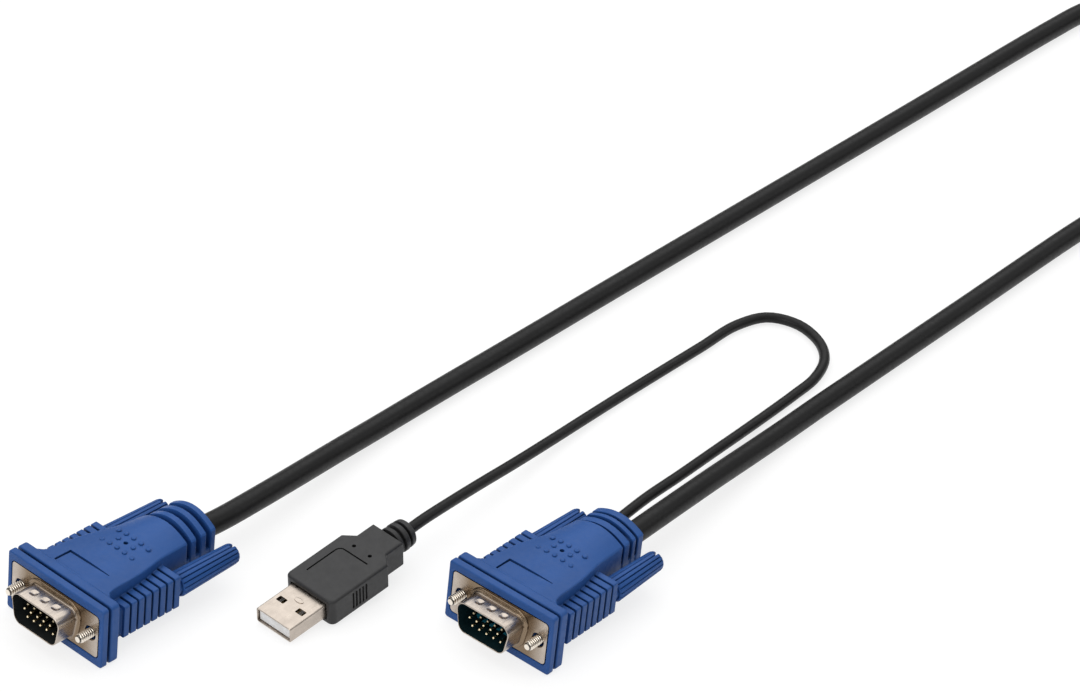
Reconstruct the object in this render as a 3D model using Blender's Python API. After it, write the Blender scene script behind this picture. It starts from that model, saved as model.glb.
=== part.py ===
"""KVM cable: two 15-pin plugs on one thick cable, with a USB pigtail from the right plug.

Sizes are in millimetres and become metres when a mesh is made. Every plug is modelled in its own
frame: X across the plug, Y from the mouth to the cable, Z up, with Y = 0 on the front of the metal
plate (on the mouth for the USB plug). An empty carries each plug to its place on the table.
"""
import math

import bmesh
import bpy
from mathutils import Matrix, Vector

MM = 0.001
GAP = 0.3

# Standard 15-pin high density plug
SHEET = 0.4
MOUTH_WIDTH = 16.9
MOUTH_HEIGHT = 8.3
MOUTH_REACH = 6.6
MOUTH_RADIUS = 2.2
SIDE_SLOPE = math.radians(10)
SCREW_SPACING = MOUTH_WIDTH + 8.1
SCREW_DIAMETER = 2.6
SCREW_HOLE = SCREW_DIAMETER + 1.2
PLATE_WIDTH = SCREW_SPACING + 5.8
PLATE_HEIGHT = 12.5
PLATE_THICKNESS = 0.6
PLATE_RADIUS = 1.0
DIMPLE_PITCH = 3.9
DIMPLE_SIZE = 1.5
DIMPLE_DEPTH = 0.25
DIMPLE_PLACE = 3.1
PIN_DIAMETER = 0.76
PIN_PITCH = 2.29
ROW_PITCH = 1.98
PINS_PER_ROW = 5
PIN_TIP = 5.5
PIN_POINT = 0.4
PIN_TAIL = 7.0
PIN_SIDES = 6
INSULATOR_FRONT = -0.4
INSULATOR_BACK = 5.0

# Thumbscrews
KNOB_FRONT_DIAMETER = 6.8
KNOB_BACK_DIAMETER = 5.5
LEFT_KNOB_LENGTH = 21.1
RIGHT_KNOB_LENGTH = 19.4
KNOB_NECK_DIAMETER = 5.0
KNOB_NECK_LENGTH = 0.9
KNOB_EDGE = 0.5
KNOB_CLEARANCE = 0.4
FLUTE_COUNT = 12
FLUTE_DEPTH = 0.35
SLOT_WIDTH = 0.9
SLOT_DEPTH = 1.6
SCREW_TIP = 4.1
SCREW_GRIP = 9.0

# Hood: front collar, neck, second flange, waisted body, ribbed ears, finned rear end
RIM = 1.6
COLLAR_WIDTH = PLATE_WIDTH + 2 * RIM
HOOD_HEIGHT = PLATE_HEIGHT + 5.1
COLLAR_FRONT = -0.1
COLLAR_BACK = 1.9
COLLAR_RADIUS = 0.9
COLLAR_BEVEL = 0.4
NECK_DEPTH = 1.4
NECK_LENGTH = 1.0
FLANGE_WIDTH = COLLAR_WIDTH
FLANGE_LENGTH = 2.7
FLANGE_RADIUS = 1.2
FLANGE_BEVEL = 0.4
FLANGE_BACK = COLLAR_BACK + NECK_LENGTH + FLANGE_LENGTH
WAIST = SCREW_SPACING - KNOB_FRONT_DIAMETER - 2 * KNOB_CLEARANCE
BODY_CROWN = HOOD_HEIGHT / 2 - 0.07
EAR_OUTER = SCREW_SPACING / 2 + 2.8
EAR_INNER = SCREW_SPACING / 2 - 4.5
EAR_HEIGHT = 9.6
EAR_BACK = 28.0
RIB_COUNT = 8
RIB_PITCH = 2.46
RIB_GROOVE = 0.8
RIB_DEPTH = 0.6
HOOD_BACK = 47.6
FIN_WIDTH = WAIST - 2.0
LEFT_FIN_APEX = 8.75
RIGHT_FIN_APEX = 8.15
FIN_SHOULDER = 5.7
SPINE_TOP = 0.1
SPINE_BOTTOM = -1.8
SPINE_INSET = 0.3
DOT_PITCH = 2.65
DOT_RADIUS = 0.9
DOT_RISE = 0.3
DOT_ROOT = 0.6
DOT_ROWS = (20.6, 23.6, 26.3)
CENTRE_HOLE = 1.5
CENTRE_HOLE_DEPTH = 1.0
LABEL_CORNER = (-7.0, 11.5)
LABEL_FRONT = 6.1
LABEL_RIGHT = 6.9
LABEL_LINE = 0.5
LABEL_DEPTH = 0.65

# Pieces inside the hood
REAR_PLATE_WIDTH = MOUTH_WIDTH + 2 * SHEET + 1.9
REAR_PLATE_HEIGHT = MOUTH_HEIGHT + 2 * SHEET + 2.5
REAR_SKIRT = 3.0
MOULD_WIDTH = WAIST - 1.4
MOULD_HEIGHT = 11.0
MOULD_BACK = 24.0

# Cables
CABLE_DIAMETER = 6.2
USB_CABLE_DIAMETER = 3.0
RIGHT_CABLE_OFFSET = 1.4
PIGTAIL_OFFSET = -4.6

# Grooves of the strain reliefs, each from its front to its back, measured from the hood's end
LEFT_GROOVES = ((10.2, 8.5), (6.8, 5.0), (3.3, 1.6))
RIGHT_GROOVES = ((8.8, 7.7), (5.6, 4.3), (3.0, 2.1))
LEFT_CORE = (CABLE_DIAMETER + 3.0, CABLE_DIAMETER + 3.6)
RIGHT_CORE = (FIN_WIDTH - 1.8, 2 * FIN_SHOULDER + 1.0)

# USB-A plug
USB_WIDTH = 12.0
USB_HEIGHT = 4.5
USB_SHEET = 0.3
USB_LENGTH = 18.0
WINDOW_X = 3.35
WINDOW_Y = 6.3
WINDOW_WIDTH = 2.6
WINDOW_LENGTH = 1.8
BLOCK_HEIGHT = 1.9
BLOCK_START = 0.6
BLOCK_END = 17.5
CONTACT_WIDTH = 1.0
CONTACT_LENGTH = 7.0
CONTACT_START = 1.4
CONTACT_THICKNESS = 0.25
CONTACT_X = (-3.5, -1.0, 1.0, 3.5)
GRIP_WIDTH = USB_WIDTH + 4.6
GRIP_HEIGHT = USB_HEIGHT + 3.5
GRIP_FRONT = 12.3
GRIP_SHOULDER = 32.3
GRIP_NECK = 34.8
GRIP_NECK_WIDTH = 10.6
GRIP_BACK = 40.9
GRIP_BEVEL = 0.9
GRIP_CORNER = 1.6
RELIEF_DIAMETER = 8.2
RELIEF_BACK = 47.6
RELIEF_GROOVES = (42.5, 44.8)
RELIEF_GROOVE_WIDTH = 0.8
RELIEF_GROOVE_DEPTH = 0.8
GRIP_GROOVES = 5
GRIP_GROOVE_PITCH = 1.15
GRIP_GROOVE_START = 19.6
GRIP_GROOVE_WIDTH = 0.55
GRIP_GROOVE_DEPTH = 0.4
GRIP_GROOVE_HEIGHT = 5.2

# Places on the table
LEFT_PLUG = (-38.28, -60.07, HOOD_HEIGHT / 2)
LEFT_YAW = math.radians(-1.1)
RIGHT_PLUG = (38.29, 18.85, HOOD_HEIGHT / 2)
RIGHT_YAW = math.radians(1.1)
USB_PLUG = (-2.74, -18.88, 2.6)
USB_YAW = math.radians(-1.8)
USB_TILT = math.radians(7.6)

# Coil of the length that the picture doesn't show
COIL_CENTRE = (37.73, 389.86)
COIL_TURN_DIAMETER = 71.4
COIL_COLUMNS = 3
COIL_ROWS = 2
COIL_LIFT = 0.9
COIL_SLACK = 0.6
TIE_WIDTH = 7.0
TIE_THICKNESS = 0.6
TIE_ANGLE = math.radians(200)

BLUE = (0.045, 0.115, 0.36)
NICKEL = (0.74, 0.70, 0.66)
GOLD = (0.83, 0.61, 0.25)
STEEL = (0.62, 0.60, 0.57)
BLACK = (0.012, 0.012, 0.013)
TEAL = (0.010, 0.045, 0.060)
GREY = (0.045, 0.045, 0.047)
CREAM = (0.70, 0.68, 0.62)


def clear_scene():
    for item in list(bpy.data.objects):
        bpy.data.objects.remove(item)


def finish(name, colour, roughness, metallic=0.0):
    material = bpy.data.materials.new(name)
    material.use_nodes = True
    shader = material.node_tree.nodes["Principled BSDF"]
    shader.inputs["Base Color"].default_value = (*colour, 1.0)
    shader.inputs["Roughness"].default_value = roughness
    shader.inputs["Metallic"].default_value = metallic
    return material


def put(name, bm, colour, roughness=0.5, metallic=0.0, smooth=False):
    """Turns millimetres into metres and makes the named object."""
    bmesh.ops.scale(bm, vec=Vector((MM, MM, MM)), verts=bm.verts)
    bmesh.ops.recalc_face_normals(bm, faces=bm.faces)
    mesh = bpy.data.meshes.new(name)
    bm.to_mesh(mesh)
    bm.free()
    if smooth:
        mesh.shade_smooth()
        mesh.set_sharp_from_angle(angle=math.radians(35))
    mesh.materials.append(finish(name, colour, roughness, metallic))
    item = bpy.data.objects.new(name, mesh)
    bpy.context.collection.objects.link(item)
    return item


def carve(item, cutter, operation="DIFFERENCE"):
    """Joins or cuts two closed meshes and keeps the result in the first."""
    step = item.modifiers.new(operation, "BOOLEAN")
    step.operation = operation
    step.solver = "EXACT"
    step.object = cutter
    graph = bpy.context.evaluated_depsgraph_get()
    mesh = bpy.data.meshes.new_from_object(item.evaluated_get(graph))
    item.modifiers.clear()
    item.data = mesh
    bpy.data.objects.remove(cutter)
    return item


def guide(bm):
    """A closed shape that only joins or cuts another."""
    item = put("guide", bm, BLUE)
    item.hide_render = True
    item.display_type = "WIRE"
    return item


def loft(stations):
    """Skins closed loops of equal length; each loop is a list of points."""
    bm = bmesh.new()
    loops = [[bm.verts.new(p) for p in loop] for loop in stations]
    count = len(loops[0])
    for low, high in zip(loops, loops[1:]):
        for i in range(count):
            j = (i + 1) % count
            bm.faces.new((low[i], low[j], high[j], high[i]))
    bm.faces.new(loops[0])
    bm.faces.new(list(reversed(loops[-1])))
    return bm


def along_y(sections):
    """Lofts (y, outline) pairs, where an outline is a list of (x, z)."""
    return loft([[(x, y, z) for x, z in outline] for y, outline in sections])


def along_z(sections):
    """Lofts (z, outline) pairs, where an outline is a list of (x, y)."""
    return loft([[(x, y, z) for x, y in outline] for z, outline in sections])


def rounded(width, height, radius, steps=3, x=0.0, z=0.0):
    """Outline of a rectangle with round corners, anticlockwise from its lower right corner."""
    points = []
    for sx, sz, start in ((1, -1, -90), (1, 1, 0), (-1, 1, 90), (-1, -1, 180)):
        cx = x + sx * (width / 2 - radius)
        cz = z + sz * (height / 2 - radius)
        for k in range(steps + 1):
            a = math.radians(start + 90 * k / steps)
            points.append((cx + radius * math.cos(a), cz + radius * math.sin(a)))
    return points


def disc(diameter, x=0.0, z=0.0, sides=16):
    turn = 2 * math.pi / sides
    return [(x + diameter / 2 * math.cos(turn * k), z + diameter / 2 * math.sin(turn * k))
            for k in range(sides)]


def box(x0, x1, y0, y1, z0, z1):
    return along_y([(y0, [(x1, z0), (x1, z1), (x0, z1), (x0, z0)]),
                    (y1, [(x1, z0), (x1, z1), (x0, z1), (x0, z0)])])


def d_outline(width, height, radius, steps=3):
    """The D of the mouth: wide at the top, with sides that lean in by ten degrees."""
    lean = height * math.tan(SIDE_SLOPE)
    corners = [(width / 2 - lean, -height / 2), (width / 2, height / 2),
               (-width / 2, height / 2), (-width / 2 + lean, -height / 2)]
    points = []
    for k, corner in enumerate(corners):
        here = Vector(corner)
        before = (Vector(corners[k - 1]) - here).normalized()
        after = (Vector(corners[(k + 1) % 4]) - here).normalized()
        half = before.angle(after) / 2
        centre = here + (before + after).normalized() * (radius / math.sin(half))
        start = here + before * (radius / math.tan(half)) - centre
        sweep = math.pi - 2 * half
        for s in range(steps + 1):
            turned = Matrix.Rotation(sweep * s / steps, 2) @ start
            points.append(tuple(centre + turned))
    return points


def arch(width, apex, shoulder, steps=8):
    """Section with upright sides and a crowned top and bottom."""
    points = []
    for side in (1, -1):
        for k in range(steps + 1):
            x = side * width / 2 * (1 - 2 * k / steps)
            drop = (apex - shoulder) * (2 * x / width) ** 2
            points.append((x, side * (apex - drop)))
    return points


# Hood

def hood_body(end):
    """Waisted grip; every section is (y, width, height at the sides) under one crown height."""
    start = FLANGE_BACK
    sections = [
        (start - 1.2, WAIST + 11.0, BODY_CROWN - 0.2), (start + 0.3, WAIST + 8.8, BODY_CROWN - 0.25),
        (start + 1.1, WAIST + 6.9, BODY_CROWN - 0.3), (start + 2.3, WAIST + 5.6, BODY_CROWN - 0.35),
        (start + 4.7, WAIST + 5.0, BODY_CROWN - 0.4), (start + 9.4, WAIST + 4.4, BODY_CROWN - 0.7),
        (EAR_BACK - 8.0, WAIST + 3.2, BODY_CROWN - 1.1), (EAR_BACK - 3.0, WAIST + 1.2, BODY_CROWN - 1.5),
        (EAR_BACK, WAIST, BODY_CROWN - 1.8), (EAR_BACK + 4.0, WAIST - 0.8, BODY_CROWN - 2.2),
        (end, WAIST - 1.6, BODY_CROWN - 2.6),
    ]
    return along_y([(y, arch(width, BODY_CROWN, side)) for y, width, side in sections])


def hood_front():
    """Collar, neck groove and second flange as one stack of sections."""
    def collar(inset):
        return rounded(COLLAR_WIDTH - 2 * inset, HOOD_HEIGHT - 2 * inset, COLLAR_RADIUS)

    def neck():
        return rounded(COLLAR_WIDTH - 2 * NECK_DEPTH, HOOD_HEIGHT - 2 * NECK_DEPTH, COLLAR_RADIUS)

    def flange(inset):
        return rounded(FLANGE_WIDTH - 2 * inset, HOOD_HEIGHT - 2 * inset, FLANGE_RADIUS)

    neck_back = COLLAR_BACK + NECK_LENGTH
    back = FLANGE_BACK
    return along_y([
        (COLLAR_FRONT, collar(COLLAR_BEVEL)),
        (COLLAR_FRONT + COLLAR_BEVEL, collar(0)),
        (COLLAR_BACK, collar(0)),
        (COLLAR_BACK, neck()),
        (neck_back, neck()),
        (neck_back, flange(FLANGE_BEVEL)),
        (neck_back + FLANGE_BEVEL, flange(0)),
        (back - FLANGE_BEVEL, flange(0)),
        (back, flange(FLANGE_BEVEL)),
    ])


def ear(side):
    """Ribbed block round one screw tunnel."""
    centre = side * (EAR_OUTER + EAR_INNER) / 2
    width = EAR_OUTER - EAR_INNER

    def block(inset):
        x = width / 2 - inset
        z = EAR_HEIGHT / 2 - inset
        return [(centre + x, -z), (centre + x, z), (centre - x, z), (centre - x, -z)]

    sections = [(FLANGE_BACK - FLANGE_LENGTH / 2, block(RIB_DEPTH))]
    for k in reversed(range(RIB_COUNT)):
        rib_back = EAR_BACK - k * RIB_PITCH
        rib_front = rib_back - (RIB_PITCH - RIB_GROOVE)
        sections += [(rib_front, block(RIB_DEPTH)), (rib_front, block(0)), (rib_back, block(0))]
        if k:
            sections.append((rib_back, block(RIB_DEPTH)))
    return along_y(sections)


def strain_relief(grooves, apex, core_width, core_height):
    """Finned rear end; each groove is its (front, back) place along the hood."""
    fin = arch(FIN_WIDTH, apex, FIN_SHOULDER)
    core = arch(core_width, core_height / 2, core_height / 2 - 0.8)
    sections = [(grooves[0][0] - 2.0, core), (grooves[0][1], core), (grooves[0][1], fin)]
    for front, back in grooves[1:]:
        sections += [(front, fin), (front, core), (back, core), (back, fin)]
    sections.append((HOOD_BACK, fin))
    return along_y(sections)


def side_spine(side, start):
    """Web that ties the fins together at the side of the strain relief."""
    outer = side * (FIN_WIDTH / 2 - SPINE_INSET)
    inner = side * CABLE_DIAMETER / 2
    return box(min(inner, outer), max(inner, outer), start - 1.0, HOOD_BACK - 0.4,
               SPINE_BOTTOM, SPINE_TOP)


def top_height(x, y):
    """Height of the crowned top face where the dots and the label lines lie."""
    return HOOD_HEIGHT / 2 - 0.016 * x * x * max(0.0, min(1.0, (y - 4) / 16))


def dot_places():
    front, middle, rear = DOT_ROWS
    places = [(k * DOT_PITCH, y) for y in (front, rear) for k in range(-2, 3)]
    return places + [(-DOT_PITCH, middle), (DOT_PITCH, middle)]


def dots():
    bm = bmesh.new()
    for x, y in dot_places():
        low = top_height(x, y) - DOT_ROOT
        top = top_height(x, y) + DOT_RISE
        part = along_z([(low, [(x + u, y + v) for u, v in disc(2 * DOT_RADIUS, sides=6)]),
                        (top, [(x + u, y + v) for u, v in disc(DOT_RADIUS, sides=6)])])
        mesh = bpy.data.meshes.new("dot")
        bmesh.ops.recalc_face_normals(part, faces=part.faces)
        part.to_mesh(mesh)
        part.free()
        bm.from_mesh(mesh)
        bpy.data.meshes.remove(mesh)
    return bm


def label_lines():
    """The two grooves that mark the corner of the label field."""
    corner_x, corner_y = LABEL_CORNER
    floor = HOOD_HEIGHT / 2 - LABEL_DEPTH
    top = HOOD_HEIGHT / 2 + 1
    half = LABEL_LINE / 2
    outline = [(corner_x - half, LABEL_FRONT), (corner_x + half, LABEL_FRONT),
               (corner_x + half, corner_y - half), (LABEL_RIGHT, corner_y - half),
               (LABEL_RIGHT, corner_y + half), (corner_x - half, corner_y + half)]
    return along_z([(floor, outline), (top, outline)])


def make_hood(name, groove_places, apex, core, cables):
    grooves = [(HOOD_BACK - front, HOOD_BACK - back) for front, back in groove_places]
    body_end = grooves[0][0]
    hood = put(name, hood_front(), BLUE, 0.45)
    carve(hood, guide(hood_body(body_end)), "UNION")
    for side in (-1, 1):
        carve(hood, guide(ear(side)), "UNION")
    carve(hood, guide(strain_relief(grooves, apex, *core)), "UNION")
    for side in (-1, 1):
        carve(hood, guide(side_spine(side, body_end)), "UNION")
    carve(hood, guide(dots()), "UNION")
    carve(hood, guide(label_lines()))
    hole = [(x, DOT_ROWS[1] + y) for x, y in disc(CENTRE_HOLE, sides=8)]
    carve(hood, guide(along_z([(BODY_CROWN - CENTRE_HOLE_DEPTH, hole), (BODY_CROWN + 1, hole)])))
    carve_pockets(hood)
    for side in (-1, 1):
        tunnel = disc(SCREW_HOLE, x=side * SCREW_SPACING / 2, sides=12)
        carve(hood, guide(along_y([(COLLAR_FRONT - 1, tunnel), (EAR_BACK + 1, tunnel)])))
    for x, diameter in cables:
        bore = disc(diameter + 2 * GAP, x=x)
        carve(hood, guide(along_y([(MOULD_BACK, bore), (HOOD_BACK + 1, bore)])))
    return hood


def carve_pockets(hood):
    """Room for the two shells and the inner mould, from the front to the back."""
    plate_back = PLATE_THICKNESS + GAP
    pocket = rounded(PLATE_WIDTH + 2 * GAP, PLATE_HEIGHT + 2 * GAP, PLATE_RADIUS + GAP)
    carve(hood, guide(along_y([(COLLAR_FRONT - 1, pocket), (plate_back, pocket)])))
    rear_back = plate_back + SHEET + GAP
    skirt = MOUTH_WIDTH / 2 + SHEET + GAP
    mould_height = MOULD_HEIGHT / 2 + GAP
    for half_width, half_height, front, back in (
            (REAR_PLATE_WIDTH / 2 + GAP, REAR_PLATE_HEIGHT / 2 + GAP, plate_back - 0.5, rear_back),
            (skirt, mould_height, rear_back - 0.5, PIN_TAIL + GAP / 2),
            (MOULD_WIDTH / 2 + GAP, mould_height, PIN_TAIL - 0.5, MOULD_BACK + GAP)):
        carve(hood, guide(box(-half_width, half_width, front, back, -half_height, half_height)))


# Metal shells and the contact block

def make_shell(name, plate, mouth_end, holes, dimples):
    """A plate with the D-shaped wall drawn out of it towards mouth_end."""
    low, high, width, height, radius = plate
    wall = d_outline(MOUTH_WIDTH + 2 * SHEET, MOUTH_HEIGHT + 2 * SHEET, MOUTH_RADIUS + SHEET)
    inside = d_outline(MOUTH_WIDTH, MOUTH_HEIGHT, MOUTH_RADIUS)
    flat = rounded(width, height, radius)
    item = put(name, along_y([(low, flat), (high, flat)]), NICKEL, 0.3, 1.0)
    start, stop = sorted((mouth_end, (low + high) / 2))
    carve(item, guide(along_y([(start, wall), (stop, wall)])), "UNION")
    carve(item, guide(along_y([(min(low, start) - 1, inside), (max(high, stop) + 1, inside)])))
    for x, diameter in holes:
        hole = disc(diameter, x=x, sides=20)
        carve(item, guide(along_y([(low - 1, hole), (high + 1, hole)])))
    top = MOUTH_HEIGHT / 2 + SHEET
    for x in dimples:
        foot = rounded(DIMPLE_SIZE * 0.6, DIMPLE_SIZE * 0.6, 0.2, 1, x, -DIMPLE_PLACE)
        dent = rounded(DIMPLE_SIZE * 1.4, DIMPLE_SIZE * 1.4, 0.4, 1, x, -DIMPLE_PLACE)
        carve(item, guide(along_z([(top - DIMPLE_DEPTH, foot), (top + DIMPLE_DEPTH, dent)])))
    return item


def pin_places():
    """Rows 1 and 3 lie half a pitch beside row 2."""
    shift = PIN_PITCH / 4
    places = []
    for z, dx in ((ROW_PITCH, shift), (0.0, -shift), (-ROW_PITCH, shift)):
        places += [((k - (PINS_PER_ROW - 1) / 2) * PIN_PITCH + dx, z) for k in range(PINS_PER_ROW)]
    return places


def make_insulator(name, colour):
    block = d_outline(MOUTH_WIDTH - 2 * GAP, MOUTH_HEIGHT - 2 * GAP, MOUTH_RADIUS - GAP)
    item = put(name, along_y([(INSULATOR_FRONT, block), (INSULATOR_BACK, block)]), colour, 0.5)
    bm = bmesh.new()
    for x, z in pin_places():
        part = along_y([(INSULATOR_FRONT - 1, disc(PIN_DIAMETER + 2 * GAP, x, z, PIN_SIDES)),
                        (INSULATOR_BACK + 1, disc(PIN_DIAMETER + 2 * GAP, x, z, PIN_SIDES))])
        mesh = bpy.data.meshes.new("hole")
        bmesh.ops.recalc_face_normals(part, faces=part.faces)
        part.to_mesh(mesh)
        part.free()
        bm.from_mesh(mesh)
        bpy.data.meshes.remove(mesh)
    return carve(item, guide(bm))


def make_pin(name, x, z):
    bm = along_y([(-PIN_TIP, disc(PIN_DIAMETER * 0.4, x, z, PIN_SIDES)),
                  (-PIN_TIP + PIN_POINT, disc(PIN_DIAMETER, x, z, PIN_SIDES)),
                  (PIN_TAIL, disc(PIN_DIAMETER, x, z, PIN_SIDES))])
    return put(name, bm, GOLD, 0.25, 1.0, smooth=True)


def make_inner_mould(name):
    width = MOULD_WIDTH / 2
    height = MOULD_HEIGHT / 2
    return put(name, box(-width, width, PIN_TAIL + GAP, MOULD_BACK, -height, height), CREAM, 0.6)


# Thumbscrews, modelled about the screw's own axis

def fluted(diameter):
    """Outline with a groove between each two crests, three points to a flute."""
    count = 3 * FLUTE_COUNT
    points = []
    for k in range(count):
        a = 2 * math.pi * k / count
        r = diameter / 2 - (FLUTE_DEPTH if k % 3 == 0 else 0)
        points.append((r * math.cos(a), r * math.sin(a)))
    return points


def make_knob(name, length):
    neck = disc(KNOB_NECK_DIAMETER, sides=3 * FLUTE_COUNT)
    front = EAR_BACK + GAP
    shoulder = front + KNOB_NECK_LENGTH
    back = front + length
    bm = along_y([(front, neck), (shoulder, neck),
                  (shoulder, fluted(KNOB_FRONT_DIAMETER - KNOB_EDGE)),
                  (shoulder + KNOB_EDGE, fluted(KNOB_FRONT_DIAMETER)),
                  (back - KNOB_EDGE, fluted(KNOB_BACK_DIAMETER)),
                  (back, fluted(KNOB_BACK_DIAMETER - 2 * KNOB_EDGE))])
    item = put(name, bm, BLUE, 0.4)
    seat = disc(SCREW_DIAMETER + 2 * GAP, sides=12)
    carve(item, guide(along_y([(front - 1, seat), (front + SCREW_GRIP + GAP, seat)])))
    half = SLOT_WIDTH / 2
    reach = KNOB_FRONT_DIAMETER
    carve(item, guide(box(-half, half, back - SLOT_DEPTH, back + 1, -reach, reach)))
    return item


def make_screw(name):
    shank = disc(SCREW_DIAMETER, sides=12)
    bm = along_y([(-SCREW_TIP, disc(SCREW_DIAMETER * 0.7, sides=12)), (-SCREW_TIP + 0.5, shank),
                  (EAR_BACK + GAP + SCREW_GRIP, shank)])
    return put(name, bm, STEEL, 0.3, 1.0, smooth=True)


def frame_at(name, place, yaw=0.0, tilt=0.0):
    empty = bpy.data.objects.new(name, None)
    bpy.context.collection.objects.link(empty)
    empty.location = Vector(place) * MM
    empty.rotation_euler = (tilt, 0.0, yaw)
    return empty


def make_plug(side, place, yaw, insulator_colour, knob_length, grooves, apex, core, cables):
    plug = frame_at(f"{side}_plug_frame", place, yaw)
    pieces = [make_hood(f"{side}_hood", grooves, apex, core, cables)]
    plate = (0.0, PLATE_THICKNESS, PLATE_WIDTH, PLATE_HEIGHT, PLATE_RADIUS)
    holes = [(x * SCREW_SPACING / 2, SCREW_HOLE) for x in (-1, 1)]
    dimples = (-DIMPLE_PITCH, 0.0, DIMPLE_PITCH)
    pieces.append(make_shell(f"{side}_front_shell", plate, -MOUTH_REACH, holes, dimples))
    behind = PLATE_THICKNESS + GAP
    rear = (behind, behind + SHEET, REAR_PLATE_WIDTH, REAR_PLATE_HEIGHT, 1.0)
    pieces.append(make_shell(f"{side}_rear_shell", rear, behind + REAR_SKIRT, (), ()))
    pieces.append(make_insulator(f"{side}_insulator", insulator_colour))
    for k, (x, z) in enumerate(pin_places(), 1):
        pieces.append(make_pin(f"{side}_pin_{k:02d}", x, z))
    pieces.append(make_inner_mould(f"{side}_inner_mould"))
    for piece in pieces:
        piece.parent = plug
    for hand, sign in (("far", -1), ("near", 1)):
        axis = frame_at(f"{side}_{hand}_screw_axis", (sign * SCREW_SPACING / 2, 0, 0))
        axis.parent = plug
        make_knob(f"{side}_{hand}_thumbscrew_knob", knob_length).parent = axis
        make_screw(f"{side}_{hand}_screw").parent = axis


# USB-A plug

def grip_outline(inset):
    """Plan of the overmould: wide grip, slanted shoulders, narrow neck."""
    wide = GRIP_WIDTH / 2 - inset
    slim = GRIP_NECK_WIDTH / 2 - inset
    front = GRIP_FRONT + inset
    nib = GRIP_CORNER * 0.3
    right = [(wide - GRIP_CORNER, front), (wide - nib, front + nib), (wide, front + GRIP_CORNER),
             (wide, GRIP_SHOULDER), (slim, GRIP_NECK), (slim, GRIP_BACK - inset)]
    left = [(-x, y) for x, y in reversed(right)]
    return right + left


def make_overmould(name):
    half = GRIP_HEIGHT / 2
    bm = along_z([(-half, grip_outline(GRIP_BEVEL)), (-half + GRIP_BEVEL, grip_outline(0)),
                  (half - GRIP_BEVEL, grip_outline(0)), (half, grip_outline(GRIP_BEVEL))])
    item = put(name, bm, GREY, 0.5)
    ring = disc(RELIEF_DIAMETER)
    slim = disc(RELIEF_DIAMETER - 2 * RELIEF_GROOVE_DEPTH)
    sections = [(GRIP_BACK - 1.0, ring)]
    for start in RELIEF_GROOVES:
        stop = start + RELIEF_GROOVE_WIDTH
        sections += [(start, ring), (start, slim), (stop, slim), (stop, ring)]
    end = disc(RELIEF_DIAMETER - 0.8)
    sections += [(RELIEF_BACK - 0.4, ring), (RELIEF_BACK, end)]
    carve(item, guide(along_y(sections)), "UNION")
    for side in (-1, 1):
        for k in range(GRIP_GROOVES):
            y = GRIP_GROOVE_START + k * GRIP_GROOVE_PITCH
            near = side * (GRIP_WIDTH / 2 - GRIP_GROOVE_DEPTH)
            far = side * (GRIP_WIDTH / 2 + 1)
            carve(item, guide(box(min(near, far), max(near, far), y, y + GRIP_GROOVE_WIDTH,
                                  -GRIP_GROOVE_HEIGHT / 2, GRIP_GROOVE_HEIGHT / 2)))
    hollow_x = USB_WIDTH / 2 + GAP
    hollow_z = USB_HEIGHT / 2 + GAP
    carve(item, guide(box(-hollow_x, hollow_x, GRIP_FRONT - 1, USB_LENGTH + GAP,
                          -hollow_z, hollow_z)))
    bore = disc(USB_CABLE_DIAMETER + 2 * GAP, sides=12)
    carve(item, guide(along_y([(GRIP_BACK - 4, bore), (RELIEF_BACK + 1, bore)])))
    return item


def make_usb_shell(name):
    outer = rounded(USB_WIDTH, USB_HEIGHT, 0.6, 2)
    inner = rounded(USB_WIDTH - 2 * USB_SHEET, USB_HEIGHT - 2 * USB_SHEET, 0.3, 2)
    item = put(name, along_y([(0.0, outer), (USB_LENGTH, outer)]), NICKEL, 0.3, 1.0)
    carve(item, guide(along_y([(-1, inner), (USB_LENGTH + 1, inner)])))
    for x in (-WINDOW_X, WINDOW_X):
        y = WINDOW_Y
        carve(item, guide(box(x - WINDOW_WIDTH / 2, x + WINDOW_WIDTH / 2, y - WINDOW_LENGTH / 2,
                              y + WINDOW_LENGTH / 2, -USB_HEIGHT, USB_HEIGHT)))
    return item


def block_top():
    return -USB_HEIGHT / 2 + USB_SHEET + GAP + BLOCK_HEIGHT


def make_usb_block(name):
    half = USB_WIDTH / 2 - USB_SHEET - GAP
    low = -USB_HEIGHT / 2 + USB_SHEET + GAP
    return put(name, box(-half, half, BLOCK_START, BLOCK_END, low, block_top()), CREAM, 0.5)


def make_usb_contact(name, x):
    half = CONTACT_WIDTH / 2
    low = block_top() + GAP
    return put(name, box(x - half, x + half, CONTACT_START, CONTACT_START + CONTACT_LENGTH,
                         low, low + CONTACT_THICKNESS), GOLD, 0.25, 1.0)


def make_usb_plug():
    plug = frame_at("usb_plug_frame", USB_PLUG, USB_YAW, USB_TILT)
    pieces = [make_overmould("usb_overmould"), make_usb_shell("usb_shell"),
              make_usb_block("usb_contact_block")]
    for k, x in enumerate(CONTACT_X, 1):
        pieces.append(make_usb_contact(f"usb_contact_{k}", x))
    for piece in pieces:
        piece.parent = plug


# Cables

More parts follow.
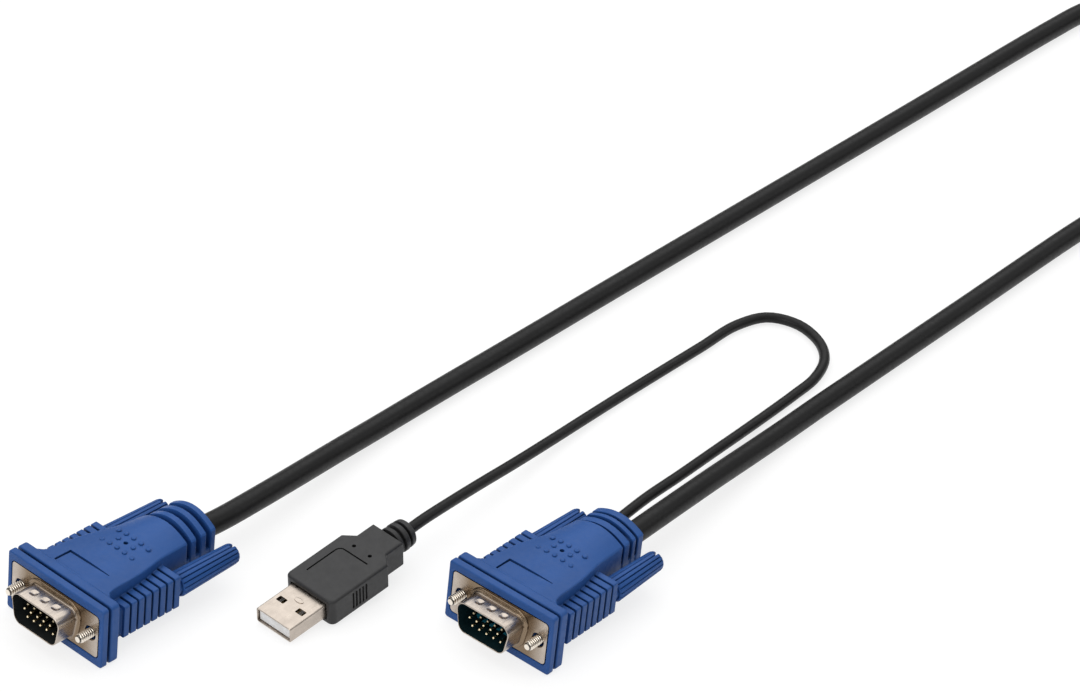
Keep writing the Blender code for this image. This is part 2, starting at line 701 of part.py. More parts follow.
def smooth_route(route, count):
    """Reads count points, evenly spaced, from a smooth curve through the route."""
    points = [Vector(p) for p in route]
    points = [2 * points[0] - points[1]] + points + [2 * points[-1] - points[-2]]
    fine = []
    for a, b, c, d in zip(points, points[1:], points[2:], points[3:]):
        t1 = (b - a).length ** 0.5
        t2 = t1 + (c - b).length ** 0.5
        t3 = t2 + (d - c).length ** 0.5
        for k in range(24):
            t = t1 + (t2 - t1) * k / 24
            ab = a * (t1 - t) / t1 + b * t / t1
            bc = b * (t2 - t) / (t2 - t1) + c * (t - t1) / (t2 - t1)
            cd = c * (t3 - t) / (t3 - t2) + d * (t - t2) / (t3 - t2)
            abc = ab * (t2 - t) / t2 + bc * t / t2
            bcd = bc * (t3 - t) / (t3 - t1) + cd * (t - t1) / (t3 - t1)
            fine.append(abc * (t2 - t) / (t2 - t1) + bcd * (t - t1) / (t2 - t1))
    fine.append(points[-2])
    reach = [0.0]
    for p, q in zip(fine, fine[1:]):
        reach.append(reach[-1] + (q - p).length)
    even = []
    k = 0
    for n in range(count):
        want = reach[-1] * n / (count - 1)
        while k < len(reach) - 2 and reach[k + 1] < want:
            k += 1
        share = (want - reach[k]) / (reach[k + 1] - reach[k])
        even.append(fine[k].lerp(fine[k + 1], share))
    return even


def make_tube(name, route, diameter, resolution, count):
    curve = bpy.data.curves.new(name, "CURVE")
    curve.dimensions = "3D"
    curve.bevel_depth = diameter / 2 * MM
    curve.bevel_resolution = resolution
    curve.use_fill_caps = True
    spline = curve.splines.new("POLY")
    points = smooth_route(route, count)
    spline.points.add(len(points) - 1)
    for spot, place in zip(spline.points, points):
        spot.co = (*(place * MM), 1.0)
    curve.materials.append(finish(name, BLACK, 0.45))
    item = bpy.data.objects.new(name, curve)
    bpy.context.collection.objects.link(item)
    return item


LEFT_ROUTE = [
    (-37.82, -35.14, 8.8), (-37.52, -20.04, 8.8), (-37.42, -12.94, 8.8), (-37.07, -2.14, 8.45),
    (-37.42, 10.86, 8.0), (-38.87, 27.26, 6.6), (-40.62, 43.86, 5.0), (-41.87, 60.06, 3.8),
    (-42.67, 75.86, 3.2), (-42.97, 90.86, 3.1), (-43.27, 120.86, 3.1), (-43.77, 155.86, 3.1),
    (-44.47, 220.86, 3.1), (-45.47, 304.86, 3.1), (-46.57, 380.86, 3.1), (-46.07, 398.86, 3.1),
    (-42.77, 412.86, 3.1), (-35.27, 423.86, 3.4), (-23.27, 430.36, 3.7), (-10.27, 431.96, 3.9),
    (3.73, 432.16, 3.9), (13.73, 432.16, 3.9),
]
RIGHT_ROUTE = [
    (39.23, 43.86, 8.8), (39.03, 55.86, 8.8), (38.83, 65.96, 8.8), (38.38, 74.86, 8.7),
    (37.18, 90.26, 7.9), (35.33, 108.86, 6.3), (33.63, 126.86, 4.6), (32.33, 143.36, 3.5),
    (31.43, 158.86, 3.1), (30.83, 179.36, 3.1), (29.43, 227.86, 3.1), (27.63, 288.86, 3.1),
    (27.93, 303.36, 3.1), (31.13, 317.86, 3.3), (38.73, 330.36, 4.7), (50.73, 342.66, 7.3),
]
PIGTAIL_ROUTE = [
    (33.18, 43.56, 8.8), (32.93, 55.86, 8.8), (32.78, 65.86, 8.8), (31.73, 74.86, 8.5),
    (30.03, 86.86, 7.6), (28.23, 103.36, 5.9), (26.08, 119.86, 4.0), (24.33, 134.86, 2.5),
    (23.08, 148.86, 1.75), (22.18, 160.86, 1.55), (21.03, 171.86, 1.55), (17.13, 181.36, 1.55),
    (10.53, 187.16, 1.55), (1.33, 189.36, 1.55), (-6.47, 185.86, 1.55), (-9.87, 176.36, 1.55),
    (-9.77, 159.36, 1.55), (-9.37, 124.36, 1.62), (-8.77, 110.36, 2.0), (-7.57, 93.86, 2.95),
    (-5.77, 76.86, 4.75), (-3.82, 58.86, 7.05), (-2.12, 43.86, 8.85), (-1.47, 34.86, 9.3),
    (-1.27, 28.26, 8.9), (-1.49, 21.26, 8.05),
]


def coil_half_width():
    return COIL_COLUMNS * CABLE_DIAMETER / 2 + COIL_SLACK


def make_coil(name):
    """Outer shape of the wound turns, turned about the coil's own axis."""
    middle = COIL_TURN_DIAMETER / 2
    half = coil_half_width()
    low = COIL_LIFT
    high = COIL_LIFT + COIL_ROWS * CABLE_DIAMETER + GAP
    edge = 2.0
    profile = [(middle + half, high - edge), (middle + half, low + edge), (middle + half - edge, low),
               (middle - half + edge, low), (middle - half, low + edge), (middle - half, high - edge),
               (middle - half + edge, high), (middle + half - edge, high)]
    bm = bmesh.new()
    turns = 36
    rings = []
    for k in range(turns):
        a = 2 * math.pi * k / turns
        rings.append([bm.verts.new((COIL_CENTRE[0] + r * math.cos(a), COIL_CENTRE[1] + r * math.sin(a), z))
                      for r, z in profile])
    for k in range(turns):
        here, there = rings[k], rings[(k + 1) % turns]
        for i in range(len(profile)):
            j = (i + 1) % len(profile)
            bm.faces.new((here[i], here[j], there[j], there[i]))
    return put(name, bm, BLACK, 0.45)


def make_tie(name):
    """Band round the coil's section at one place."""
    half = coil_half_width() + GAP + TIE_THICKNESS
    low = COIL_LIFT - GAP - TIE_THICKNESS
    high = COIL_LIFT + COIL_ROWS * CABLE_DIAMETER + 2 * GAP + TIE_THICKNESS
    width = TIE_WIDTH / 2
    bow = 0.6
    item = put(name, box(-half - bow, half + bow, -width, width, low, high), BLACK, 0.7)
    inner = coil_half_width() + GAP + bow
    hollow = box(-inner, inner, -width - 1, width + 1, low + TIE_THICKNESS, high - TIE_THICKNESS)
    carve(item, guide(hollow))
    middle = COIL_TURN_DIAMETER / 2
    item.location = Vector((COIL_CENTRE[0] + middle * math.cos(TIE_ANGLE),
                            COIL_CENTRE[1] + middle * math.sin(TIE_ANGLE), 0.0)) * MM
    item.rotation_euler = (0.0, 0.0, TIE_ANGLE)
    return item


def main():
    clear_scene()
    make_plug("left", LEFT_PLUG, LEFT_YAW, BLACK, LEFT_KNOB_LENGTH, LEFT_GROOVES, LEFT_FIN_APEX,
              LEFT_CORE, [(0.0, CABLE_DIAMETER)])
    make_plug("right", RIGHT_PLUG, RIGHT_YAW, TEAL, RIGHT_KNOB_LENGTH, RIGHT_GROOVES, RIGHT_FIN_APEX,
              RIGHT_CORE,
              [(RIGHT_CABLE_OFFSET, CABLE_DIAMETER), (PIGTAIL_OFFSET, USB_CABLE_DIAMETER)])
    make_usb_plug()
    make_tube("main_cable_left_run", LEFT_ROUTE, CABLE_DIAMETER, 3, 30)
    make_tube("main_cable_right_run", RIGHT_ROUTE, CABLE_DIAMETER, 3, 20)
    make_tube("usb_cable", PIGTAIL_ROUTE, USB_CABLE_DIAMETER, 2, 48)
    make_coil("main_cable_coil")
    make_tie("coil_tie")


main()
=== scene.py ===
from math import cos, pi, radians, sin, sqrt, tan

import bmesh
import bpy
from mathutils import Matrix, Vector
from mathutils.bvhtree import BVHTree


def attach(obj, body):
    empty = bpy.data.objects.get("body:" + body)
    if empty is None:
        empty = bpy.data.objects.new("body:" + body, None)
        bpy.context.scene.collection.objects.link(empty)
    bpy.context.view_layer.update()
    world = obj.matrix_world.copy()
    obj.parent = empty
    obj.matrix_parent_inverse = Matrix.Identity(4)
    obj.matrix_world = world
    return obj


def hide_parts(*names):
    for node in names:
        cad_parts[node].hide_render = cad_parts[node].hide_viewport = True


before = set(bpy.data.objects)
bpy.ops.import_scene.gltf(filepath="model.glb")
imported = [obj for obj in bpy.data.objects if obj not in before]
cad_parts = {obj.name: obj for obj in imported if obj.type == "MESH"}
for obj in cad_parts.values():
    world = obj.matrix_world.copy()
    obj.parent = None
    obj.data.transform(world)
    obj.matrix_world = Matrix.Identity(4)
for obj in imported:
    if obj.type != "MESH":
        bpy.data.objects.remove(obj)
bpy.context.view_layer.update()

ROOT = "cable_and_plugs"

# Sizes are in millimetres, in each plug's own frame: X across, Y from the mouth to the cable, Z up.
MM = 0.001
IMAGE_WIDTH = 1080

# Camera, fitted to the photograph
VIEW_AZIMUTH = radians(37.2)
VIEW_ELEVATION = radians(33.98)
VIEW_ROLL = radians(6.4)
VIEW_DISTANCE = 1200.0
VIEW_TARGET = (-41.43, 128.26, 0.0)
FOCAL_PIXELS = 4348.8
SENSOR = 36.0

# Light: each lamp's place, aim and size in metres and its power in watts
LAMPS = {
    "key": ((-0.60, 0.55, 1.6), (0.0, 0.10, 0.0), (2.6, 2.6), 22.0),
    "side": ((1.06, 1.25, 0.98), (0.0, 0.05, 0.0), (0.7, 0.7), 1.6),
    "front": ((0.0, -1.5, 0.8), (0.0, 0.0, 0.0), (1.2, 0.6), 7.0),
}
WORLD_STRENGTH = 0.60
DARK_BAND = (0.20, 0.34)
DARK_BAND_COLOUR = (0.07, 0.055, 0.045)
FLOOR_GLOW = 0.76
FLOOR_SHADE = 0.29
FLOOR_ALBEDO = 0.80
FLOOR_SIZE = 4.0

# Places of the plugs
HOOD_HEIGHT = 17.6
LEFT_PLUG = (-38.28, -60.07, HOOD_HEIGHT / 2)
LEFT_YAW = radians(-1.1)
RIGHT_PLUG = (38.29, 18.85, HOOD_HEIGHT / 2)
RIGHT_YAW = radians(1.1)
USB_PLUG = (-2.74, -18.88, 2.6)
USB_YAW = radians(-1.8)
USB_TILT = radians(7.6)

# Plug
SHEET = 0.4
MOUTH_WIDTH = 16.9
MOUTH_HEIGHT = 8.3
MOUTH_REACH = 6.6
MOUTH_RADIUS = 2.2
SIDE_SLOPE = radians(10)
SCREW_SPACING = 25.0
SCREW_DIAMETER = 2.6
SCREW_HOLE = 3.8
PLATE_WIDTH = 30.8
PLATE_HEIGHT = 12.5
PLATE_THICKNESS = 0.6
PLATE_RADIUS = 1.0
DIMPLE_PITCH = 3.9
DIMPLE_SIZE = 2.6
DIMPLE_DEPTH = 0.38
DIMPLE_PLACE = 3.4
DIMPLE_CORNER = 0.36
PIN_DIAMETER = 0.76
PIN_PITCH = 2.29
ROW_PITCH = 1.98
PINS_PER_ROW = 5
PIN_TIP = 5.5
PIN_TAIL = 7.0
INSULATOR_FRONT = -0.4
INSULATOR_BACK = 5.0
GAP = 0.3

# Hood
COLLAR_WIDTH = 34.0
COLLAR_FRONT = -0.1
COLLAR_BACK = 1.9
COLLAR_RADIUS = 0.8
COLLAR_BEVEL = 0.25
NECK_DEPTH = 1.5
NECK_LENGTH = 1.0
FLANGE_LENGTH = 2.7
FLANGE_RADIUS = 1.1
FLANGE_BEVEL = 0.25
FLANGE_BACK = COLLAR_BACK + NECK_LENGTH + FLANGE_LENGTH
BODY_CROWN = HOOD_HEIGHT / 2 - 0.12
EAR_OUTER = 15.3
EAR_INNER = 8.0
EAR_HEIGHT = 9.6
EAR_BACK = 28.0
RIB_COUNT = 8
RIB_PITCH = 2.46
RIB_GROOVE = 0.66
RIB_DEPTH = 0.85
HOOD_BACK = 47.6
FIN_WIDTH = 15.4
FIN_SHOULDER = 5.7
LEFT_FIN_APEX = 8.75
RIGHT_FIN_APEX = 8.15
LEFT_GROOVES = ((10.2, 8.5), (6.8, 5.0), (3.3, 1.6))
RIGHT_GROOVES = ((8.8, 7.7), (5.6, 4.3), (3.0, 2.1))
LEFT_CORE = (9.2, 9.8)
RIGHT_CORE = (13.6, 12.4)
SPINE_INNER = 3.0
SPINE_INSET = 0.3
SPINE_BOTTOM = -1.8
SPINE_TOP = 0.1
DOT_PITCH = 2.65
DOT_RADIUS = 0.64
DOT_RISE = 0.32
DOT_ROWS = (20.6, 23.6, 26.3)
CENTRE_HOLE = 1.3
LABEL_CORNER = (-7.0, 11.5)
LABEL_FRONT = 6.1
LABEL_RIGHT = 6.9
LABEL_LINE = 0.36
LABEL_DEPTH = 0.95
MOULD_BACK = 24.0
VOXEL = 0.135
VOXELS_KEPT = 0.185

# Thumbscrews
LEFT_KNOB_LENGTH = 21.1
RIGHT_KNOB_LENGTH = 19.4
KNOB_FRONT_DIAMETER = 6.8
KNOB_BACK_DIAMETER = 5.5
KNOB_NECK_DIAMETER = 5.0
KNOB_NECK_LENGTH = 0.9
FLUTE_COUNT = 16
FLUTE_DEPTH = 0.42
FLUTE_HALF_WIDTH = 0.17
POINTS_PER_FLUTE = 12
KNOB_SIDES = POINTS_PER_FLUTE * FLUTE_COUNT
SLOT_WIDTH = 0.9
SLOT_DEPTH = 1.6
SCREW_TIP = 4.1
SCREW_GRIP = 9.0
THREAD_PITCH = 0.635
THREAD_DEPTH = 0.40
THREAD_END = 1.5
THREAD_STEP = 0.06
THREAD_SIDES = 28

# USB-A plug
USB_WIDTH = 12.0
USB_HEIGHT = 4.5
USB_SHEET = 0.3
USB_LENGTH = 18.0
WINDOW_X = 3.35
WINDOW_Y = 6.3
WINDOW_WIDTH = 2.6
WINDOW_LENGTH = 1.8
GRIP_WIDTH = 16.6
GRIP_HEIGHT = 8.0
GRIP_FRONT = 12.3
GRIP_SHOULDER = 32.3
GRIP_NECK = 34.8
GRIP_NECK_WIDTH = 10.6
GRIP_BACK = 40.9
GRIP_BEVEL = 0.7
GRIP_CORNER = 1.6
USB_LABEL_LINE = 0.44
GRIP_VOXEL = 0.12
GRIP_VOXELS_KEPT = 0.35
RELIEF_DIAMETER = 8.1
RELIEF_BACK = 47.6

# Cables
CABLE_DIAMETER = 6.2
USB_CABLE_DIAMETER = 3.0
RIGHT_CABLE_OFFSET = 1.4
PIGTAIL_OFFSET = -4.6
LEFT_ROUTE = [
    (-37.82, -35.14, 8.8), (-37.52, -20.04, 8.8), (-37.42, -12.94, 8.8), (-37.07, -2.14, 8.45),
    (-37.42, 10.86, 8.0), (-38.87, 27.26, 6.6), (-40.62, 43.86, 5.0), (-41.87, 60.06, 3.8),
    (-42.67, 75.86, 3.2), (-42.97, 90.86, 3.1), (-43.27, 120.86, 3.1), (-43.77, 155.86, 3.1),
    (-44.47, 220.86, 3.1), (-45.47, 304.86, 3.1), (-46.57, 380.86, 3.1), (-46.07, 398.86, 3.1),
    (-42.77, 412.86, 3.1), (-35.27, 423.86, 3.4), (-23.27, 430.36, 3.7), (-10.27, 431.96, 3.9),
    (3.73, 432.16, 3.9), (13.73, 432.16, 3.9),
]
RIGHT_ROUTE = [
    (39.23, 43.86, 8.8), (39.03, 55.86, 8.8), (38.83, 65.96, 8.8), (38.38, 74.86, 8.7),
    (37.18, 90.26, 7.9), (35.33, 108.86, 6.3), (33.63, 126.86, 4.6), (32.33, 143.36, 3.5),
    (31.43, 158.86, 3.1), (30.83, 179.36, 3.1), (29.43, 227.86, 3.1), (27.63, 288.86, 3.1),
    (27.93, 303.36, 3.1), (31.13, 317.86, 3.3), (38.73, 330.36, 4.7), (50.73, 342.66, 7.3),
]
PIGTAIL_ROUTE = [
    (33.18, 43.56, 8.8), (32.93, 55.86, 8.8), (32.78, 65.86, 8.8), (31.73, 74.86, 8.5),
    (30.03, 86.86, 7.6), (28.23, 103.36, 5.9), (26.08, 119.86, 4.0), (24.33, 134.86, 2.5),
    (23.08, 148.86, 1.75), (22.18, 160.86, 1.55), (21.03, 171.86, 1.55), (17.13, 181.36, 1.55),
    (10.53, 187.16, 1.55), (1.33, 189.36, 1.55), (-6.47, 185.86, 1.55), (-9.87, 176.36, 1.55),
    (-9.77, 159.36, 1.55), (-9.37, 124.36, 1.62), (-8.77, 110.36, 2.0), (-7.57, 93.86, 2.95),
    (-5.77, 76.86, 4.75), (-3.82, 58.86, 7.05), (-2.12, 43.86, 8.85), (-1.47, 34.86, 9.3),
    (-1.27, 28.26, 8.9), (-1.49, 21.26, 8.05),
]
COIL_CENTRE = (37.73, 389.86)
COIL_OUTER = 42.3
COIL_FULL_TURNS = 4
COIL_ROW = 4.0
COIL_CLIMB = radians(60)
COIL_EXIT = radians(-45)
COIL_LEAD_OUT = [(59.73, 351.96, 9.85), (54.93, 346.96, 8.9)]
TIE_ANGLE = radians(200)
TIE_WIDTH = 7.0
TIE_THICKNESS = 0.6
BUNDLE_RADIUS = 34.9
BUNDLE_WIDTH = 12.6
BUNDLE_HEIGHT = 12.6


def frame_of(place, yaw, tilt=0.0):
    turn = Matrix.Rotation(yaw, 4, "Z") @ Matrix.Rotation(tilt, 4, "X")
    return Matrix.Translation(Vector(place) * MM) @ turn


LEFT_FRAME = frame_of(LEFT_PLUG, LEFT_YAW)
RIGHT_FRAME = frame_of(RIGHT_PLUG, RIGHT_YAW)
USB_FRAME = frame_of(USB_PLUG, USB_YAW, USB_TILT)


def add_object(name, data):
    item = bpy.data.objects.new(name, data)
    bpy.context.scene.collection.objects.link(item)
    return item


def math_node(tree, operation, *values):
    """A Math node fed with sockets or numbers."""
    node = tree.nodes.new("ShaderNodeMath")
    node.operation = operation
    for socket, value in zip(node.inputs, values):
        if isinstance(value, float):
            socket.default_value = value
        else:
            tree.links.new(value, socket)
    return node.outputs[0]


def ramp_node(tree, value, start, first, stop, last):
    """Colour that goes from first at start to last at stop."""
    node = tree.nodes.new("ShaderNodeValToRGB")
    for end, position, colour in zip(node.color_ramp.elements, (start, stop), (first, last)):
        end.position = position
        end.color = (*colour, 1.0)
    tree.links.new(value, node.inputs["Fac"])
    return node.outputs["Color"]


# Camera, lights and floor

def make_camera():
    toward = Vector((sin(VIEW_AZIMUTH) * cos(VIEW_ELEVATION),
                     -cos(VIEW_AZIMUTH) * cos(VIEW_ELEVATION), sin(VIEW_ELEVATION)))
    level = Vector((cos(VIEW_AZIMUTH), sin(VIEW_AZIMUTH), 0.0))
    up = toward.cross(level)
    right = level * cos(VIEW_ROLL) + up * sin(VIEW_ROLL)
    up = up * cos(VIEW_ROLL) - level * sin(VIEW_ROLL)
    data = bpy.data.cameras.new("camera")
    data.sensor_width = SENSOR
    data.lens = FOCAL_PIXELS / IMAGE_WIDTH * SENSOR
    data.clip_start = 0.05
    data.clip_end = 20.0
    camera = add_object("camera", data)
    place = Matrix((right, up, toward)).transposed().to_4x4()
    place.translation = (Vector(VIEW_TARGET) + VIEW_DISTANCE * toward) * MM
    camera.matrix_world = place
    bpy.context.scene.camera = camera


def make_lamp(name, place, aim, size, watts):
    data = bpy.data.lights.new(name, "AREA")
    data.shape = "RECTANGLE"
    data.size, data.size_y = size
    data.energy = watts
    lamp = add_object(name, data)
    lamp.location = place
    lamp.rotation_euler = (Vector(aim) - Vector(place)).to_track_quat("-Z", "Y").to_euler()


def make_world():
    """White all round, with a dark band low down for the metal to mirror."""
    world = bpy.data.worlds.new("studio")
    world.use_nodes = True
    bpy.context.scene.world = world
    tree = world.node_tree
    new, link = tree.nodes.new, tree.links.new
    background = tree.nodes["Background"]
    background.inputs["Strength"].default_value = WORLD_STRENGTH
    place = new("ShaderNodeTexCoord")
    split = new("ShaderNodeSeparateXYZ")
    link(place.outputs["Generated"], split.inputs[0])
    low, high = DARK_BAND
    sky = ramp_node(tree, split.outputs["Z"], low, DARK_BAND_COLOUR, high, (1.0, 1.0, 1.0))
    link(sky, background.inputs["Color"])


def make_floor():
    """Pale sheet that looks white to the camera and keeps a weak shadow."""
    material = bpy.data.materials.new("paper")
    material.use_nodes = True
    tree = material.node_tree
    tree.nodes.clear()
    new, link = tree.nodes.new, tree.links.new
    seen = new("ShaderNodeAddShader")
    glow = new("ShaderNodeEmission")
    glow.inputs["Color"].default_value = (1.0, 1.0, 1.0, 1.0)
    glow.inputs["Strength"].default_value = FLOOR_GLOW
    shade, paper = (new("ShaderNodeBsdfDiffuse") for _ in range(2))
    for sheet, grey in ((shade, FLOOR_SHADE), (paper, FLOOR_ALBEDO)):
        sheet.inputs["Color"].default_value = (grey, grey, grey, 1.0)
    path = new("ShaderNodeLightPath")
    direct = path.outputs["Is Camera Ray"]
    for ray in ("Is Glossy Ray", "Is Transmission Ray"):
        direct = math_node(tree, "MAXIMUM", direct, path.outputs[ray])
    mix = new("ShaderNodeMixShader")
    out = new("ShaderNodeOutputMaterial")
    link(glow.outputs[0], seen.inputs[0])
    link(shade.outputs[0], seen.inputs[1])
    link(direct, mix.inputs[0])
    link(paper.outputs[0], mix.inputs[1])
    link(seen.outputs[0], mix.inputs[2])
    link(mix.outputs[0], out.inputs["Surface"])
    bm = bmesh.new()
    bmesh.ops.create_grid(bm, x_segments=1, y_segments=1, size=FLOOR_SIZE)
    mesh = bpy.data.meshes.new("floor")
    bm.to_mesh(mesh)
    bm.free()
    mesh.materials.append(material)
    floor = add_object("floor", mesh)
    floor.location = (0.0, 0.15, -0.0001)


# Materials

# Name of the per-vertex value that sets how much painted shade a point gets in crevices.
CREVICE_SHADE = "crevice"


class Finish:
    """A Principled material whose colour, roughness and bump vary over the surface."""

    def __init__(self, name, colour, roughness, metallic=0.0, specular=0.5):
        self.material = bpy.data.materials.new(name)
        self.material.use_nodes = True
        self.tree = self.material.node_tree
        self.shader = self.tree.nodes["Principled BSDF"]
        self.shader.inputs["Base Color"].default_value = (*colour, 1.0)
        self.shader.inputs["Metallic"].default_value = metallic
        self.shader.inputs["Roughness"].default_value = roughness
        self.shader.inputs["Specular IOR Level"].default_value = specular
        self.place = self.node("ShaderNodeTexCoord").outputs["Object"]
        self.colour = colour
        self.height = None

    def node(self, kind, **inputs):
        made = self.tree.nodes.new(kind)
        for key, value in inputs.items():
            made.inputs[key.replace("_", " ")].default_value = value
        return made

    def link(self, source, target):
        self.tree.links.new(source, target)

    def stretched(self, scale):
        """Object coordinates, in metres, times a scale for each axis."""
        node = self.node("ShaderNodeMapping")
        node.inputs["Scale"].default_value = scale
        self.link(self.place, node.inputs["Vector"])
        return node.outputs["Vector"]

    def noise(self, scale, detail=2.0, rough=0.5):
        """Cloudy values; scale is one number or one for each axis, in waves to the metre."""
        node = self.node("ShaderNodeTexNoise", Scale=1.0, Detail=detail, Roughness=rough)
        scale = scale if isinstance(scale, tuple) else (scale, scale, scale)
        self.link(self.stretched(scale), node.inputs["Vector"])
        return node.outputs["Fac"]

    def spread(self, value, low, high, start=0.3, stop=0.7):
        """Maps start..stop to low..high."""
        node = self.node("ShaderNodeMapRange")
        for key, number in (("From Min", start), ("From Max", stop), ("To Min", low), ("To Max", high)):
            node.inputs[key].default_value = number
        self.link(value, node.inputs["Value"])
        return node.outputs["Result"]

    def tint(self, value, low, high, start=0.3, stop=0.7):
        """Colour that goes from low to high times the base colour as value rises."""
        first, last = ([min(1.0, c * times) for c in self.colour] for times in (low, high))
        colour = ramp_node(self.tree, value, start, first, stop, last)
        self.paint(colour)
        return colour

    def paint(self, colour):
        self.link(colour, self.shader.inputs["Base Color"])

    def shade(self, colour, value):
        """Makes colour times value the base colour."""
        node = self.node("ShaderNodeMix")
        node.data_type = "RGBA"
        node.blend_type = "MULTIPLY"
        node.inputs["Factor"].default_value = 1.0
        self.link(colour, node.inputs[6])
        self.link(value, node.inputs[7])
        self.paint(node.outputs[2])

    def paint_crevice_shade(self, colour):
        """Painted shade: multiplies the base colour down where the mesh says that a point is enclosed.
        """
        held = self.node("ShaderNodeAttribute")
        held.attribute_name = CREVICE_SHADE
        self.shade(colour, self.spread(held.outputs["Fac"], 1.0, 0.22, 0.10, 0.60))

    def paint_mouth_reflection(self, colour):
        """Painted dark brown reflection of the mouth on a plug's plate, by its share of the piece's
        width and depth.
        """
        split = self.node("ShaderNodeSeparateXYZ")
        self.link(self.node("ShaderNodeTexCoord").outputs["Generated"], split.inputs[0])
        side = math_node(self.tree, "SUBTRACT", split.outputs["X"], 0.5)
        near = self.spread(math_node(self.tree, "ABSOLUTE", side), 1.0, 0.0, 0.33, 0.47)
        plate = self.spread(split.outputs["Y"], 0.0, 1.0, 0.72, 0.80)
        reflected_shade = self.node("ShaderNodeMix")
        reflected_shade.data_type = "RGBA"
        self.link(math_node(self.tree, "MULTIPLY", near, plate), reflected_shade.inputs["Factor"])
        self.link(colour, reflected_shade.inputs[6])
        # Colour of the painted reflection of the mouth.
        reflected_shade.inputs[7].default_value = (0.25, 0.185, 0.125, 1.0)
        self.paint(reflected_shade.outputs[2])

    def vary_roughness(self, value, low, high):
        self.link(self.spread(value, low, high), self.shader.inputs["Roughness"])

    def bump(self, value, depth, strength=1.0):
        """Adds relief; depth is in millimetres for a value of one."""
        node = self.node("ShaderNodeBump", Strength=strength, Distance=depth * MM)
        self.link(value, node.inputs["Height"])
        if self.height:
            self.link(self.height, node.inputs["Normal"])
        self.height = node.outputs["Normal"]
        self.link(self.height, self.shader.inputs["Normal"])


def hood_finish(name):
    """Moulded PVC: soft sheen, fine grain, faint flow marks, and painted shade in its crevices."""
    finish = Finish(name, (0.022, 0.086, 0.292), 0.45, specular=0.22)
    flow = finish.noise((90.0, 45.0, 90.0), 3.0)
    colour = finish.tint(flow, 0.90, 1.10)
    # Painted shade in the crevices.
    finish.paint_crevice_shade(colour)
    finish.vary_roughness(finish.noise(700.0, 3.0), 0.38, 0.52)
    finish.bump(finish.noise(2600.0, 3.0, 0.6), 0.03, 0.5)
    finish.bump(finish.noise((300.0, 120.0, 300.0), 2.0), 0.10, 0.35)
    return finish.material


def nickel_finish(name, roughness, plate=False):
    """Nickel plate on drawn sheet: warm, faint draw lines along Y, with a painted dark reflection
    beside a plug's mouth.
    """
    finish = Finish(name, (0.53, 0.465, 0.405), roughness, metallic=1.0)
    colour = finish.tint(finish.noise(420.0, 4.0), 0.88, 1.05)
    # Painted dark reflection of the mouth on the plate.
    if plate:
        finish.paint_mouth_reflection(colour)
    lines = finish.noise((2500.0, 260.0, 2500.0), 3.0)
    finish.vary_roughness(lines, roughness - 0.06, roughness + 0.10)
    finish.bump(finish.noise((2200.0, 240.0, 2200.0), 2.0), 0.012, 0.6)
    finish.bump(finish.noise(180.0, 2.0), 0.08, 0.35)
    return finish.material


def screw_finish(name):
    """Nickel plate with painted shade in the roots of the thread; the crests and the tip keep the
    bright colour.
    """
    finish = Finish(name, (0.86, 0.79, 0.69), 0.24, metallic=1.0)
    size = finish.node("ShaderNodeVectorMath")
    size.operation = "LENGTH"
    finish.link(finish.stretched((1.0, 0.0, 1.0)), size.inputs[0])
    reach = finish.spread(size.outputs["Value"], 0.0, 1.0, (SCREW_DIAMETER / 2 - THREAD_DEPTH) * MM,
                          (SCREW_DIAMETER / 2 - 0.08) * MM)
    tip = finish.spread(size.outputs["Value"], 1.0, 0.0, SCREW_DIAMETER * 0.29 * MM,
                        SCREW_DIAMETER * 0.33 * MM)
    # Painted shade in the thread roots, down to a tenth of the base colour.
    finish.tint(math_node(finish.tree, "MAXIMUM", reach, tip), 0.10, 1.0, 0.15, 0.70)
    finish.vary_roughness(finish.noise(1500.0), 0.18, 0.32)
    return finish.material


def painted_shade_finish(name, colour):
    """Painted shade for the inner wall of the mouth, which lies in the shade of the contact block."""
    finish = Finish(name, colour, 0.5, specular=0.3)
    finish.tint(finish.noise(500.0, 3.0), 0.8, 1.2)
    finish.bump(finish.noise(1800.0, 2.0), 0.02, 0.4)
    return finish.material


def pin_finish(name):
    """Gold on the tip that fades to a near-black stem as painted shade deep in the mouth, with painted
    shade also dulling the upper rows.
    """
    finish = Finish(name, (0.86, 0.66, 0.32), 0.24, metallic=1.0)
    split = finish.node("ShaderNodeSeparateXYZ")
    finish.link(finish.place, split.inputs[0])
    # Painted shade: the colour darkens from the tip back along the stem, into the mouth.
    depth = finish.spread(split.outputs["Y"], 0.0, 1.0, -PIN_TIP * MM, (-PIN_TIP + 2.4) * MM)
    gold = ramp_node(finish.tree, depth, 0.40, (1.0, 0.84, 0.56), 0.95, (0.050, 0.034, 0.018))
    # Painted shade: the upper rows are darker, under the shell's top.
    finish.shade(gold, finish.spread(split.outputs["Z"], 1.0, 0.38, -0.5 * MM, 2.2 * MM))
    finish.bump(finish.noise(2600.0, 2.0), 0.01, 0.4)
    return finish.material


def gold_finish(name):
    finish = Finish(name, (0.88, 0.66, 0.30), 0.24, metallic=1.0)
    finish.tint(finish.noise(700.0, 3.0), 0.9, 1.05)
    finish.bump(finish.noise(1500.0, 2.0), 0.01, 0.4)
    return finish.material


def plastic_finish(name, colour, roughness, grain=2200.0, depth=0.02):
    finish = Finish(name, colour, roughness, specular=0.3)
    # Random tone, times painted shade in the crevices.
    finish.paint_crevice_shade(finish.tint(finish.noise(260.0, 3.0), 0.88, 1.12))
    finish.vary_roughness(finish.noise(900.0, 3.0), roughness - 0.06, roughness + 0.06)
    finish.bump(finish.noise(grain, 3.0, 0.6), depth, 0.5)
    return finish.material


